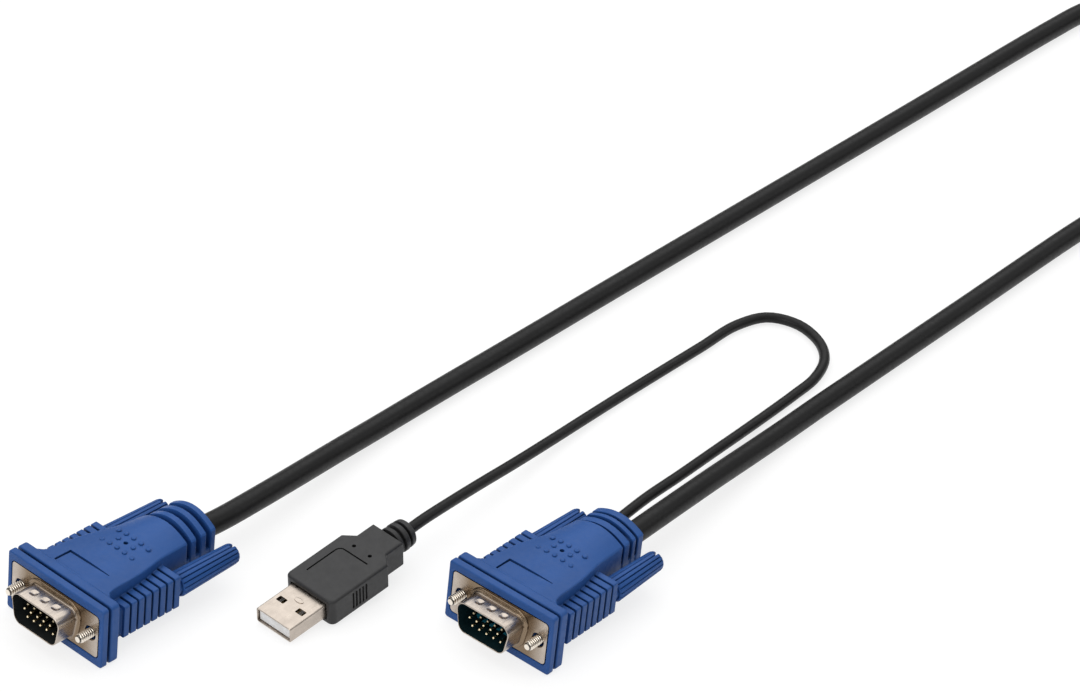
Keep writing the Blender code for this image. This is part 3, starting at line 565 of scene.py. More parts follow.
def cable_finish(name, colour, along):
    """PVC sheath with the faint length-wise waves of the wires under it."""
    finish = Finish(name, colour, 0.42, specular=0.22)
    finish.tint(finish.noise(along, 3.0), 0.85, 1.15)
    finish.vary_roughness(finish.noise(800.0, 3.0), 0.34, 0.48)
    finish.bump(finish.noise(3200.0, 2.0, 0.6), 0.012, 0.5)
    finish.bump(finish.noise(along, 2.0), 0.10, 0.30)
    return finish.material


def strap_finish(name):
    """Woven strap: fine crossing ribs."""
    finish = Finish(name, (0.016, 0.016, 0.017), 0.75, specular=0.3)
    finish.shader.inputs["Sheen Weight"].default_value = 0.3
    wave = finish.node("ShaderNodeTexWave", Scale=1.0, Distortion=0.4, Detail=1.0)
    finish.link(finish.stretched((900.0, 900.0, 900.0)), wave.inputs["Vector"])
    finish.tint(wave.outputs["Fac"], 0.6, 1.5)
    finish.bump(wave.outputs["Fac"], 0.08, 0.6)
    return finish.material


FINISHES = {
    "blue": hood_finish("hood_blue"),
    "nickel": nickel_finish("nickel_shell", 0.26, plate=True),
    "usb_nickel": nickel_finish("usb_nickel", 0.30),
    "screw": screw_finish("screw_nickel"),
    # Painted shade for the inner wall of each mouth.
    "left_inside": painted_shade_finish("left_mouth_painted_shade", (0.015, 0.018, 0.019)),
    "right_inside": painted_shade_finish("right_mouth_painted_shade", (0.003, 0.017, 0.022)),
    "gold": gold_finish("contact_gold"),
    "pin": pin_finish("pin_gold"),
    "left_insulator": plastic_finish("black_contact_block", (0.014, 0.017, 0.018), 0.42),
    "right_insulator": plastic_finish("teal_contact_block", (0.008, 0.130, 0.190), 0.30),
    "cream": plastic_finish("cream_plastic", (0.93, 0.92, 0.90), 0.45),
    "grip": plastic_finish("usb_overmould_black", (0.031, 0.031, 0.032), 0.42, 3000.0, 0.03),
    "cable": cable_finish("cable_sheath", (0.0065, 0.0065, 0.0068), (420.0, 40.0, 420.0)),
    "pigtail": cable_finish("pigtail_sheath", (0.0095, 0.0095, 0.0098), (600.0, 60.0, 600.0)),
    "strap": strap_finish("strap_weave"),
}


# Shapes

def loft(stations):
    """Skins closed loops of equal length; each loop is a list of points."""
    bm = bmesh.new()
    loops = [[bm.verts.new(p) for p in loop] for loop in stations]
    count = len(loops[0])
    for low, high in zip(loops, loops[1:]):
        for i in range(count):
            j = (i + 1) % count
            bm.faces.new((low[i], low[j], high[j], high[i]))
    bm.faces.new(loops[0])
    bm.faces.new(list(reversed(loops[-1])))
    return bm


def along_y(sections):
    """Lofts (y, outline) pairs, where an outline is a list of (x, z)."""
    return loft([[(x, y, z) for x, z in outline] for y, outline in sections])


def along_z(sections):
    """Lofts (z, outline) pairs, where an outline is a list of (x, y)."""
    return loft([[(x, y, z) for x, y in outline] for z, outline in sections])


def rounded(width, height, radius, steps=6, x=0.0, z=0.0):
    points = []
    for sx, sz, start in ((1, -1, -90), (1, 1, 0), (-1, 1, 90), (-1, -1, 180)):
        cx = x + sx * (width / 2 - radius)
        cz = z + sz * (height / 2 - radius)
        for k in range(steps + 1):
            a = radians(start + 90 * k / steps)
            points.append((cx + radius * cos(a), cz + radius * sin(a)))
    return points


def disc(diameter, x=0.0, z=0.0, sides=32):
    turn = 2 * pi / sides
    return [(x + diameter / 2 * cos(turn * k), z + diameter / 2 * sin(turn * k))
            for k in range(sides)]


def box(x0, x1, y0, y1, z0, z1):
    outline = [(x1, z0), (x1, z1), (x0, z1), (x0, z0)]
    return along_y([(y0, outline), (y1, outline)])


def d_outline(grow=0.0, steps=8):
    """The D of the mouth's inner wall, grown outwards: wide at the top, sides that lean in."""
    height = MOUTH_HEIGHT + 2 * grow
    lean = height * tan(SIDE_SLOPE)
    width = MOUTH_WIDTH + 2 * grow
    radius = MOUTH_RADIUS + grow
    corners = [(width / 2 - lean, -height / 2), (width / 2, height / 2),
               (-width / 2, height / 2), (-width / 2 + lean, -height / 2)]
    points = []
    for k, corner in enumerate(corners):
        here = Vector(corner)
        before = (Vector(corners[k - 1]) - here).normalized()
        after = (Vector(corners[(k + 1) % 4]) - here).normalized()
        half = before.angle(after) / 2
        centre = here + (before + after).normalized() * (radius / sin(half))
        start = here + before * (radius / tan(half)) - centre
        sweep = pi - 2 * half
        for s in range(steps + 1):
            points.append(tuple(centre + Matrix.Rotation(sweep * s / steps, 2) @ start))
    return points


def arch(width, apex, shoulder, corner=0.3, steps=16):
    """Section with upright sides, crowned top and bottom, and slightly round corners."""
    half = width / 2
    bend = [(half - corner * (1 - cos(a)), shoulder - corner * (1 - sin(a)))
            for a in (radians(15), radians(45), radians(75))]
    points = []
    for side in (1, -1):
        points += [(side * x, side * z) for x, z in bend]
        for k in range(steps + 1):
            x = side * (half - corner) * (1 - 2 * k / steps)
            points.append((x, side * (apex - (apex - shoulder) * (x / half) ** 2)))
        points += [(-side * x, side * z) for x, z in reversed(bend)]
    return points


def smooth_values(rows, step):
    """Reads rows of numbers at even steps of the first, on a smooth curve through them."""
    out = []
    place = rows[0][0]
    while place < rows[-1][0]:
        k = max(i for i in range(len(rows) - 1) if rows[i][0] <= place)
        a = rows[max(k - 1, 0)]
        b, c = rows[k], rows[k + 1]
        d = rows[min(k + 2, len(rows) - 1)]
        t = (place - b[0]) / (c[0] - b[0])
        row = [place]
        for i in range(1, len(b)):
            gap = c[0] - b[0]
            m0 = (c[i] - a[i]) / (c[0] - a[0]) * gap
            m1 = (d[i] - b[i]) / (d[0] - b[0]) * gap
            row.append((2 * t ** 3 - 3 * t ** 2 + 1) * b[i] + (t ** 3 - 2 * t ** 2 + t) * m0
                       + (-2 * t ** 3 + 3 * t ** 2) * c[i] + (t ** 3 - t ** 2) * m1)
        out.append(tuple(row))
        place += step
    out.append(rows[-1])
    return out


def joined(parts):
    """One shape of several closed ones, each with its faces turned outwards."""
    whole = bmesh.new()
    for part in parts:
        bmesh.ops.recalc_face_normals(part, faces=part.faces)
        mesh = bpy.data.meshes.new("part")
        part.to_mesh(mesh)
        part.free()
        whole.from_mesh(mesh)
        bpy.data.meshes.remove(mesh)
    return whole


# Turning shapes into pieces

def solid(name, bm):
    """A mesh object in metres; the shapes are in millimetres."""
    bmesh.ops.scale(bm, vec=Vector((MM, MM, MM)), verts=bm.verts)
    bmesh.ops.recalc_face_normals(bm, faces=bm.faces)
    mesh = bpy.data.meshes.new(name)
    bm.to_mesh(mesh)
    bm.free()
    return add_object(name, mesh)


def applied(item):
    """Keeps what the modifiers make."""
    bpy.context.view_layer.update()
    graph = bpy.context.evaluated_depsgraph_get()
    mesh = bpy.data.meshes.new_from_object(item.evaluated_get(graph))
    item.modifiers.clear()
    item.data = mesh


def carve(item, bm, operation="DIFFERENCE"):
    cutter = solid("cutter", bm)
    step = item.modifiers.new(operation, "BOOLEAN")
    step.operation = operation
    step.solver = "EXACT"
    step.object = cutter
    applied(item)
    bpy.data.objects.remove(cutter)


def soften(item, voxel, keep):
    """Rebuilds a moulded shape with the small round edges that a mould leaves."""
    remesh = item.modifiers.new("remesh", "REMESH")
    remesh.mode = "VOXEL"
    remesh.voxel_size = voxel * MM
    smooth = item.modifiers.new("smooth", "SMOOTH")
    smooth.factor = 0.5
    smooth.iterations = 2
    item.modifiers.new("fewer", "DECIMATE").ratio = keep
    applied(item)


def shade_smooth(item, angle):
    """Smooth shading with sharp edges where faces meet at more than the angle."""
    item.data.shade_smooth()
    item.data.set_sharp_from_angle(angle=radians(angle))


def even_shading(item, angle):
    """Smooth shading that stays flat on the broad faces, and sharp past the angle."""
    shade_smooth(item, angle)
    step = item.modifiers.new("even", "WEIGHTED_NORMAL")
    step.keep_sharp = True
    step.weight = 80
    applied(item)


def measure_crevice_shade(item, reach=2.6):
    """Stores how enclosed each vertex is, by how soon short rays from it meet the piece again; the
    finishes paint shade in the crevices from it.
    """
    mesh = item.data
    tree = BVHTree.FromPolygons([v.co for v in mesh.vertices], [p.vertices for p in mesh.polygons])
    golden = pi * (3 - sqrt(5))
    rays = []
    for k in range(26):
        z = 1 - (2 * k + 1) / 26
        across = sqrt(1 - z * z)
        rays.append(Vector((across * cos(golden * k), across * sin(golden * k), z)))
    values = []
    for vertex in mesh.vertices:
        start = vertex.co + vertex.normal * 0.04 * MM
        out = [ray for ray in rays if ray.dot(vertex.normal) > 0.15]
        met = [tree.ray_cast(start, ray, reach * MM)[3] for ray in out]
        values.append(sum(1 - far / (reach * MM) for far in met if far is not None) / max(1, len(out)))
    mesh.attributes.new(CREVICE_SHADE, "FLOAT", "POINT").data.foreach_set("value", values)


def finish_piece(item, place, finish, node, body=ROOT):
    """Puts a shape in its place in the model; a finish of None keeps the materials that it has."""
    item.matrix_world = place
    if finish:
        item.data.materials.append(FINISHES[finish])
    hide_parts(node)
    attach(item, body)
    return item


def bevel(item, width):
    """Rounds the sharp edges and evens the shading."""
    step = item.modifiers.new("bevel", "BEVEL")
    step.width = width * MM
    step.segments = 2
    step.limit_method = "ANGLE"
    step.angle_limit = radians(30)
    applied(item)
    shade_smooth(item, 40)


# Hood

def hood_front():
    """Collar, neck groove and second flange, from rows of place, inset and corner radius."""
    neck_back = COLLAR_BACK + NECK_LENGTH
    rows = [
        (COLLAR_FRONT, COLLAR_BEVEL, COLLAR_RADIUS), (COLLAR_FRONT + COLLAR_BEVEL, 0, COLLAR_RADIUS),
        (COLLAR_BACK, 0, COLLAR_RADIUS), (COLLAR_BACK, NECK_DEPTH, COLLAR_RADIUS),
        (neck_back, NECK_DEPTH, COLLAR_RADIUS), (neck_back, FLANGE_BEVEL, FLANGE_RADIUS),
        (neck_back + FLANGE_BEVEL, 0, FLANGE_RADIUS), (FLANGE_BACK - FLANGE_BEVEL, 0, FLANGE_RADIUS),
        (FLANGE_BACK, FLANGE_BEVEL, FLANGE_RADIUS),
    ]
    return along_y([(y, rounded(COLLAR_WIDTH - 2 * inset, HOOD_HEIGHT - 2 * inset, radius))
                    for y, inset, radius in rows])


def hood_body(end):
    start = FLANGE_BACK
    rows = [
        (start - 1.2, 28.4, 0.2), (start + 0.3, 26.2, 0.25), (start + 1.1, 24.3, 0.3),
        (start + 2.3, 23.0, 0.35), (start + 4.7, 22.4, 0.4), (15.0, 21.8, 0.7),
        (20.0, 20.6, 1.1), (25.0, 18.6, 1.5), (28.0, 17.4, 1.8), (32.0, 16.6, 2.2), (end, 15.8, 2.6),
    ]
    return along_y([(y, arch(width, BODY_CROWN, BODY_CROWN - drop))
                    for y, width, drop in smooth_values(rows, 0.6)])


def ear(side):
    centre = side * (EAR_OUTER + EAR_INNER) / 2
    width = EAR_OUTER - EAR_INNER

    def block(inset):
        return rounded(width - 2 * inset, EAR_HEIGHT - 2 * inset, 0.45, 3, x=centre)

    sections = [(FLANGE_BACK - FLANGE_LENGTH / 2, block(RIB_DEPTH))]
    for k in reversed(range(RIB_COUNT)):
        rib_back = EAR_BACK - k * RIB_PITCH
        rib_front = rib_back - (RIB_PITCH - RIB_GROOVE)
        sections += [(rib_front, block(RIB_DEPTH)), (rib_front, block(0)), (rib_back, block(0))]
        if k:
            sections.append((rib_back, block(RIB_DEPTH)))
    return along_y(sections)


def strain_relief(grooves, apex, core_width, core_height):
    fin = arch(FIN_WIDTH, apex, FIN_SHOULDER)
    core = arch(core_width, core_height / 2, core_height / 2 - 0.8)
    sections = [(grooves[0][0] - 2.0, core), (grooves[0][1], core), (grooves[0][1], fin)]
    for front, back in grooves[1:]:
        sections += [(front, fin), (front, core), (back, core), (back, fin)]
    sections.append((HOOD_BACK, fin))
    return along_y(sections)


def top_height(x, y):
    """Height of the crowned top face where the dots lie."""
    return HOOD_HEIGHT / 2 - 0.016 * x * x * max(0.0, min(1.0, (y - 4) / 16))


def dot_places():
    front, middle, rear = DOT_ROWS
    places = [(k * DOT_PITCH, y) for y in (front, rear) for k in range(-2, 3)]
    return places + [(-DOT_PITCH, middle), (DOT_PITCH, middle)]


def dots():
    parts = []
    for x, y in dot_places():
        base = top_height(x, y)
        rings = [(base - 0.5, DOT_RADIUS), (base + DOT_RISE * 0.2, DOT_RADIUS)]
        rings += [(base + DOT_RISE * (0.2 + 0.8 * sin(radians(a))),
                   DOT_RADIUS * cos(radians(a))) for a in (22, 45, 65, 82)]
        parts.append(along_z([(z, disc(2 * r, x, y, 16)) for z, r in rings]))
    return joined(parts)


def label_field():
    """Bare recess for a label, deepest at its far rear corner and level at its near front corner."""
    x, y = LABEL_CORNER
    surface = BODY_CROWN
    floor = [(LABEL_RIGHT, LABEL_FRONT, surface + 0.1), (LABEL_RIGHT, y, surface - 0.28),
             (x, y, surface - 0.62), (x, LABEL_FRONT, surface - 0.40)]
    top = [(u, v, surface + 1.0) for u, v, _ in floor]
    return loft([floor, top])


def label_lines():
    """Narrow shadow line along the two deep sides of the recess."""
    x, y = LABEL_CORNER
    half = LABEL_LINE / 2
    floor = BODY_CROWN - LABEL_DEPTH
    outline = [(x - half, LABEL_FRONT), (x + half, LABEL_FRONT), (x + half, y - half),
               (LABEL_RIGHT, y - 0.1), (LABEL_RIGHT, y + 0.1), (x - half, y + half)]
    return along_z([(floor, outline), (BODY_CROWN + 1, outline)])


def carve_pockets(hood):
    """Rooms for the front plate, the rear plate, its skirt and the inner mould."""
    plate_back = PLATE_THICKNESS + GAP
    pocket = rounded(PLATE_WIDTH + 2 * GAP, PLATE_HEIGHT + 2 * GAP, PLATE_RADIUS + GAP)
    carve(hood, along_y([(COLLAR_FRONT - 1, pocket), (plate_back, pocket)]))
    for half, front, back, up in ((10.1, plate_back - 0.5, 1.6, 6.1), (9.15, 1.1, 7.15, 5.8),
                                  (8.3, 6.5, MOULD_BACK + GAP, 5.8)):
        carve(hood, box(-half, half, front, back, -up, up))


def make_hood(side, place, groove_places, apex, core, cables):
    grooves = [(HOOD_BACK - front, HOOD_BACK - back) for front, back in groove_places]
    body_end = grooves[0][0]
    hood = solid(f"{side}_hood_moulding", hood_front())
    carve(hood, hood_body(body_end), "UNION")
    for sign in (-1, 1):
        carve(hood, ear(sign), "UNION")
    carve(hood, strain_relief(grooves, apex, *core), "UNION")
    for sign in (-1, 1):
        near, far = sorted((sign * SPINE_INNER, sign * (FIN_WIDTH / 2 - SPINE_INSET)))
        spine = box(near, far, body_end - 1.0, HOOD_BACK - 0.4, SPINE_BOTTOM, SPINE_TOP)
        carve(hood, spine, "UNION")
    carve(hood, label_field())
    carve_pockets(hood)
    for sign in (-1, 1):
        tunnel = disc(SCREW_HOLE, x=sign * SCREW_SPACING / 2)
        carve(hood, along_y([(COLLAR_FRONT - 1, tunnel), (EAR_BACK + 1, tunnel)]))
    for x, diameter in cables:
        bore = disc(diameter + 2 * GAP, x=x)
        carve(hood, along_y([(MOULD_BACK, bore), (HOOD_BACK + 1, bore)]))
    soften(hood, VOXEL, VOXELS_KEPT)
    carve(hood, label_lines())
    hole = [(x, DOT_ROWS[1] + y) for x, y in disc(CENTRE_HOLE, sides=20)]
    carve(hood, along_z([(BODY_CROWN - 1.0, hole), (BODY_CROWN + 1, hole)]))
    carve(hood, dots(), "UNION")
    shade_smooth(hood, 50)
    # How enclosed each point is, for the painted shade in the hood's crevices.
    measure_crevice_shade(hood)
    finish_piece(hood, place, "blue", f"{side}_hood")


# Metal shells, contact block and pins

def make_front_shell(side, place):
    """Drawn plate: boss, wall with a round foot, rolled lip, three dimples, two screw holes."""
    flat = rounded(PLATE_WIDTH, PLATE_HEIGHT, PLATE_RADIUS)
    shell = solid(f"{side}_mouth_shell", along_y([(0.0, flat), (PLATE_THICKNESS, flat)]))
    boss = 0.45
    rings = [(PLATE_THICKNESS / 2, 1.75), (-boss * 0.5, 1.7), (-boss * 0.85, 1.55), (-boss, 1.25),
             (-boss - 0.08, SHEET + 0.45), (-boss - 0.25, SHEET + 0.18), (-boss - 0.6, SHEET),
             (-MOUTH_REACH + 0.12, SHEET), (-MOUTH_REACH, SHEET - 0.12)]
    carve(shell, along_y([(y, d_outline(grow)) for y, grow in reversed(rings)]), "UNION")
    inside = d_outline()
    lip = d_outline(0.1)
    carve(shell, along_y([(-MOUTH_REACH - 1, lip), (-MOUTH_REACH + 0.01, lip),
                          (-MOUTH_REACH + 0.15, inside), (PLATE_THICKNESS + 1, inside)]))
    for sign in (-1, 1):
        wide, hole = (disc(d, x=sign * SCREW_SPACING / 2) for d in (SCREW_HOLE + 0.4, SCREW_HOLE))
        carve(shell, along_y([(-1.0, wide), (0.0, wide), (0.2, hole), (PLATE_THICKNESS + 1, hole)]))
    top = MOUTH_HEIGHT / 2 + SHEET
    bowl = [(top - DIMPLE_DEPTH * (0.5 + 0.5 * cos(pi * r / 8)), DIMPLE_SIZE * r / 8)
            for r in range(1, 8)]
    bowl += [(top + 0.012, DIMPLE_SIZE), (top + 1, DIMPLE_SIZE)]
    for x in (-DIMPLE_PITCH, 0.0, DIMPLE_PITCH):
        carve(shell, along_z([(z, rounded(w, w, DIMPLE_CORNER * w, x=x, z=-DIMPLE_PLACE))
                              for z, w in bowl]))
    mesh = shell.data
    mesh.materials.append(FINISHES["nickel"])
    # The second material is painted shade on the inner wall of the mouth.
    mesh.materials.append(FINISHES[f"{side}_inside"])
    for face in mesh.polygons:
        c = face.center / MM
        n = face.normal
        inward = n.x * c.x + n.z * c.z < 0 and abs(n.y) < 0.3
        near = abs(c.x) < MOUTH_WIDTH / 2 + 0.05 and abs(c.z) < MOUTH_HEIGHT / 2 + 0.05
        if inward and near and c.y < PLATE_THICKNESS:
            face.material_index = 1
    mesh.transform(place)
    even_shading(shell, 38)
    finish_piece(shell, Matrix(), None, f"{side}_front_shell")


def pin_places():
    shift = PIN_PITCH / 4
    places = []
    for z, dx in ((ROW_PITCH, shift), (0.0, -shift), (-ROW_PITCH, shift)):
        places += [((k - (PINS_PER_ROW - 1) / 2) * PIN_PITCH + dx, z) for k in range(PINS_PER_ROW)]
    return places


def make_insulator(side, place):
    edge = d_outline(-GAP - 0.2)
    face = d_outline(-GAP)
    block = solid(f"{side}_contact_block", along_y([
        (INSULATOR_FRONT, edge), (INSULATOR_FRONT + 0.2, face), (INSULATOR_BACK, face)]))
    holes = []
    for x, z in pin_places():
        wide = disc(PIN_DIAMETER + 2 * GAP + 0.3, x, z, 20)
        hole = disc(PIN_DIAMETER + 2 * GAP, x, z, 20)
        holes.append(along_y([(INSULATOR_FRONT - 1, wide), (INSULATOR_FRONT, wide),
                              (INSULATOR_FRONT + 0.15, hole), (INSULATOR_BACK + 1, hole)]))
    carve(block, joined(holes))
    shade_smooth(block, 30)
    finish_piece(block, place, f"{side}_insulator", f"{side}_insulator")


def make_pins(side, place):
    radius = PIN_DIAMETER / 2
    tip = [(radius * (1 - cos(radians(a))), radius * sin(radians(a)))
           for a in (10, 30, 50, 70, 90)]
    for k, (x, z) in enumerate(pin_places(), 1):
        sections = [(-PIN_TIP + y, disc(2 * r, x, z, 16)) for y, r in tip]
        sections.append((PIN_TAIL, disc(PIN_DIAMETER, x, z, 16)))
        pin = solid(f"{side}_contact_pin_{k:02d}", along_y(sections))
        shade_smooth(pin, 60)
        finish_piece(pin, place, "pin", f"{side}_pin_{k:02d}")


# Thumbscrews

def fluted(diameter, depth=FLUTE_DEPTH):
    """Circle with a narrow dip at the middle of each flute."""
    points = []
    for k in range(KNOB_SIDES):
        a = 2 * pi * k / KNOB_SIDES
        across = (k % POINTS_PER_FLUTE) / POINTS_PER_FLUTE
        dip = max(0.0, 1.0 - abs(across - 0.5) / FLUTE_HALF_WIDTH)
        r = diameter / 2 - depth * sin(dip * pi / 2)
        points.append((r * cos(a), r * sin(a)))
    return points


def make_knob(side, hand, place, length, body):
    front = EAR_BACK + GAP
    shoulder = front + KNOB_NECK_LENGTH
    back = front + length
    neck = disc(KNOB_NECK_DIAMETER, sides=KNOB_SIDES)
    sections = [(front, neck), (shoulder, neck),
                (shoulder, disc(KNOB_FRONT_DIAMETER - 2 * FLUTE_DEPTH, sides=KNOB_SIDES)),
                (shoulder + 0.15, fluted(KNOB_FRONT_DIAMETER - 0.5, 0.15)),
                (shoulder + 0.5, fluted(KNOB_FRONT_DIAMETER)),
                (back - 1.1, fluted(KNOB_BACK_DIAMETER + 0.15)),
                (back - 0.45, fluted(KNOB_BACK_DIAMETER - 0.1, 0.28)),
                (back - 0.12, fluted(KNOB_BACK_DIAMETER - 0.6, 0.1)),
                (back, fluted(KNOB_BACK_DIAMETER - 1.2, 0.0))]
    knob = solid(f"{side}_{hand}_knob_grip", along_y(sections))
    seat = disc(SCREW_DIAMETER + 2 * GAP)
    carve(knob, along_y([(front - 1, seat), (front + SCREW_GRIP + GAP, seat)]))
    half = SLOT_WIDTH / 2
    carve(knob, box(-half, half, back - SLOT_DEPTH, back + 1, -5.0, 5.0))
    shade_smooth(knob, 38)
    # How enclosed each point is, for the painted shade in the knob's flutes.
    measure_crevice_shade(knob, 1.2)
    finish_piece(knob, place, "blue", f"{side}_{hand}_thumbscrew_knob", body)


def make_screw(side, hand, place, body):
    """Rolled thread as far as the plate, plain shank behind it."""
    sections = []
    y = -SCREW_TIP
    while y < THREAD_END:
        outline = []
        tip = min(1.0, (y + SCREW_TIP) / 0.8)
        for k in range(THREAD_SIDES):
            a = 2 * pi * k / THREAD_SIDES
            phase = (y / THREAD_PITCH - k / THREAD_SIDES) % 1.0
            crest = 1 - abs(2 * phase - 1)
            r = SCREW_DIAMETER / 2 - THREAD_DEPTH * (1 - min(1.0, crest * 1.35))
            r = min(r, SCREW_DIAMETER / 2 * (0.62 + 0.38 * tip))
            outline.append((r * cos(a), r * sin(a)))
        sections.append((y, outline))
        y += THREAD_STEP
    shank = disc(SCREW_DIAMETER - 0.3, sides=THREAD_SIDES)
    sections += [(THREAD_END + 0.1, shank), (EAR_BACK + GAP + SCREW_GRIP, shank)]
    screw = solid(f"{side}_{hand}_screw_thread", along_y(sections))
    shade_smooth(screw, 50)
    finish_piece(screw, place, "screw", f"{side}_{hand}_screw", body)


def make_plug(side, place, knob_length, groove_places, apex, core, cables):
    make_hood(side, place, groove_places, apex, core, cables)
    make_front_shell(side, place)
    make_insulator(side, place)
    make_pins(side, place)
    for hand, sign in (("far", -1), ("near", 1)):
        axis = place @ Matrix.Translation((sign * SCREW_SPACING / 2 * MM, 0, 0))
        body = f"{side}_{hand}_thumbscrew"
        make_knob(side, hand, axis, knob_length, body)
        make_screw(side, hand, axis, body)


# USB-A plug

def grip_outline(inset):
    """Plan of the overmould: wide grip, slanted shoulders, narrow neck."""
    wide = GRIP_WIDTH / 2 - inset
    slim = GRIP_NECK_WIDTH / 2 - inset
    front = GRIP_FRONT + inset
    corner = GRIP_CORNER
    arc = [(wide - corner + corner * sin(radians(a)),
            front + corner - corner * cos(radians(a))) for a in range(0, 91, 18)]
    right = arc + [(wide, GRIP_SHOULDER), (slim, GRIP_NECK), (slim, GRIP_BACK - inset)]
    return right + [(-x, y) for x, y in reversed(right)]


def make_overmould():
    half = GRIP_HEIGHT / 2
    rings = []
    for a in range(0, 91, 18):
        c, s = cos(radians(a)), sin(radians(a))
        rings.append((half - GRIP_BEVEL * (1 - s), GRIP_BEVEL * (1 - c)))
    sections = [(-z, grip_outline(inset)) for z, inset in reversed(rings)]
    sections += [(z, grip_outline(inset)) for z, inset in rings]
    grip = solid("usb_grip", along_z(sections))
    ring = disc(RELIEF_DIAMETER)
    slim = disc(RELIEF_DIAMETER - 2.2)
    relief = [(GRIP_BACK - 1.0, slim), (41.3, slim), (41.5, ring), (42.6, ring), (42.75, slim),
              (43.55, slim), (43.7, ring), (45.0, ring), (45.15, slim), (45.75, slim),
              (45.9, disc(RELIEF_DIAMETER - 0.2)), (RELIEF_BACK - 0.4, disc(RELIEF_DIAMETER - 0.5)),
              (RELIEF_BACK, disc(RELIEF_DIAMETER - 1.4))]
    carve(grip, along_y(relief), "UNION")
    for side in (-1, 1):
        for k in range(5):
            y = 19.6 + k * 1.15
            near, far = sorted((side * (GRIP_WIDTH / 2 - 0.5), side * (GRIP_WIDTH / 2 + 1)))
            carve(grip, box(near, far, y, y + 0.6, -2.6, 2.6))
    carve(grip, box(-6.3, 6.3, GRIP_FRONT - 1, USB_LENGTH + GAP, -2.55, 2.55))
    bore = disc(USB_CABLE_DIAMETER + 2 * GAP)
    carve(grip, along_y([(GRIP_BACK - 4, bore), (RELIEF_BACK + 1, bore)]))
    soften(grip, GRIP_VOXEL, GRIP_VOXELS_KEPT)
    carve(grip, usb_label_groove())
    for x in (-2.8, 2.8):
        hole = [(x + u, 31.4 + v) for u, v in disc(1.1, sides=16)]
        carve(grip, along_z([(half - 0.8, hole), (half + 1, hole)]))
    shade_smooth(grip, 50)
    # How enclosed each point is, for the painted shade in the grip's grooves.
    measure_crevice_shade(grip)
    finish_piece(grip, USB_FRAME, "grip", "usb_overmould")


def usb_label_groove():
    """Bent line round the bare label field on top of the grip."""
    half = USB_LABEL_LINE / 2
    left, rear, right, front = -5.2, 28.8, 4.5, 17.0
    bend = 1.6
    outer = [(left - half, front)]
    inner = [(left + half, front)]
    for a in range(0, 91, 15):
        c, s = cos(radians(a)), sin(radians(a))
        outer.append((left + bend - (bend + half) * c, rear - bend + (bend + half) * s))
        inner.append((left + bend - (bend - half) * c, rear - bend + (bend - half) * s))
    outer.append((right, rear + half))
    inner.append((right, rear - half))
    outline = inner + list(reversed(outer))
    top = GRIP_HEIGHT / 2
    return along_z([(top - 0.5, outline), (top + 1, outline)])


def make_usb_shell():
    outer = rounded(USB_WIDTH, USB_HEIGHT, 0.55)
    inner = rounded(USB_WIDTH - 2 * USB_SHEET, USB_HEIGHT - 2 * USB_SHEET, 0.3)
    slim = rounded(USB_WIDTH - 0.16, USB_HEIGHT - 0.16, 0.5)
    shell = solid("usb_mouth_shell", along_y([(0.0, slim), (0.1, outer), (USB_LENGTH, outer)]))
    carve(shell, along_y([(-1, inner), (USB_LENGTH + 1, inner)]))
    for x in (-WINDOW_X, WINDOW_X):
        window = rounded(WINDOW_WIDTH, WINDOW_LENGTH, 0.25, 3, x, WINDOW_Y)
        carve(shell, along_z([(-USB_HEIGHT, window), (USB_HEIGHT, window)]))
    top = USB_HEIGHT / 2
    tongue = [(1.5 * cos(radians(a)), 9.0 + 0.75 * sin(radians(a)))
              for a in range(0, 360, 20)]
    centre = [(x * 0.45, 9.0 + (y - 9.0) * 0.45) for x, y in tongue]
    carve(shell, along_z([(top - 0.1, tongue), (top + 0.16, tongue), (top + 0.3, centre)]), "UNION")
    even_shading(shell, 32)
    finish_piece(shell, USB_FRAME, "usb_nickel", "usb_shell")


def make_tongue():
    """Plastic carrier of the contacts, with a taller lip in front of them."""
    low, top, lip = -1.65, 0.25, 1.0
    half = USB_WIDTH / 2 - USB_SHEET - GAP
    profile = [(0.6, low), (0.6, lip - 0.15), (0.72, lip), (1.2, lip), (1.32, lip - 0.12), (1.36, top),
               (17.5, top), (17.5, low)]
    tongue = solid("usb_tongue", loft([[(x, y, z) for y, z in profile] for x in (-half, half)]))
    bevel(tongue, 0.06)
    finish_piece(tongue, USB_FRAME, "cream", "usb_contact_block")


# Cables

def mixed(p, q, low, high, t):
    """Point at t of a line that is at p at low and at q at high."""
    return p * (high - t) / (high - low) + q * (t - low) / (high - low)


def smooth_route(route, count):
    """Reads count points, evenly spaced, from a smooth curve through the route."""
    points = [Vector(p) for p in route]
    points = [2 * points[0] - points[1]] + points + [2 * points[-1] - points[-2]]
    fine = []
    for a, b, c, d in zip(points, points[1:], points[2:], points[3:]):
        t1 = (b - a).length ** 0.5
        t2 = t1 + (c - b).length ** 0.5
        t3 = t2 + (d - c).length ** 0.5
        for k in range(24):
            t = t1 + (t2 - t1) * k / 24
            ab, bc, cd = mixed(a, b, 0, t1, t), mixed(b, c, t1, t2, t), mixed(c, d, t2, t3, t)
            fine.append(mixed(mixed(ab, bc, 0, t2, t), mixed(bc, cd, t1, t3, t), t1, t2, t))
    fine.append(points[-2])
    reach = [0.0]
    for p, q in zip(fine, fine[1:]):
        reach.append(reach[-1] + (q - p).length)
    even = []
    k = 0
    for n in range(count):
        want = reach[-1] * n / (count - 1)
        while k < len(reach) - 2 and reach[k + 1] < want:
            k += 1
        share = (want - reach[k]) / (reach[k + 1] - reach[k])
        even.append(fine[k].lerp(fine[k + 1], share))
    return even


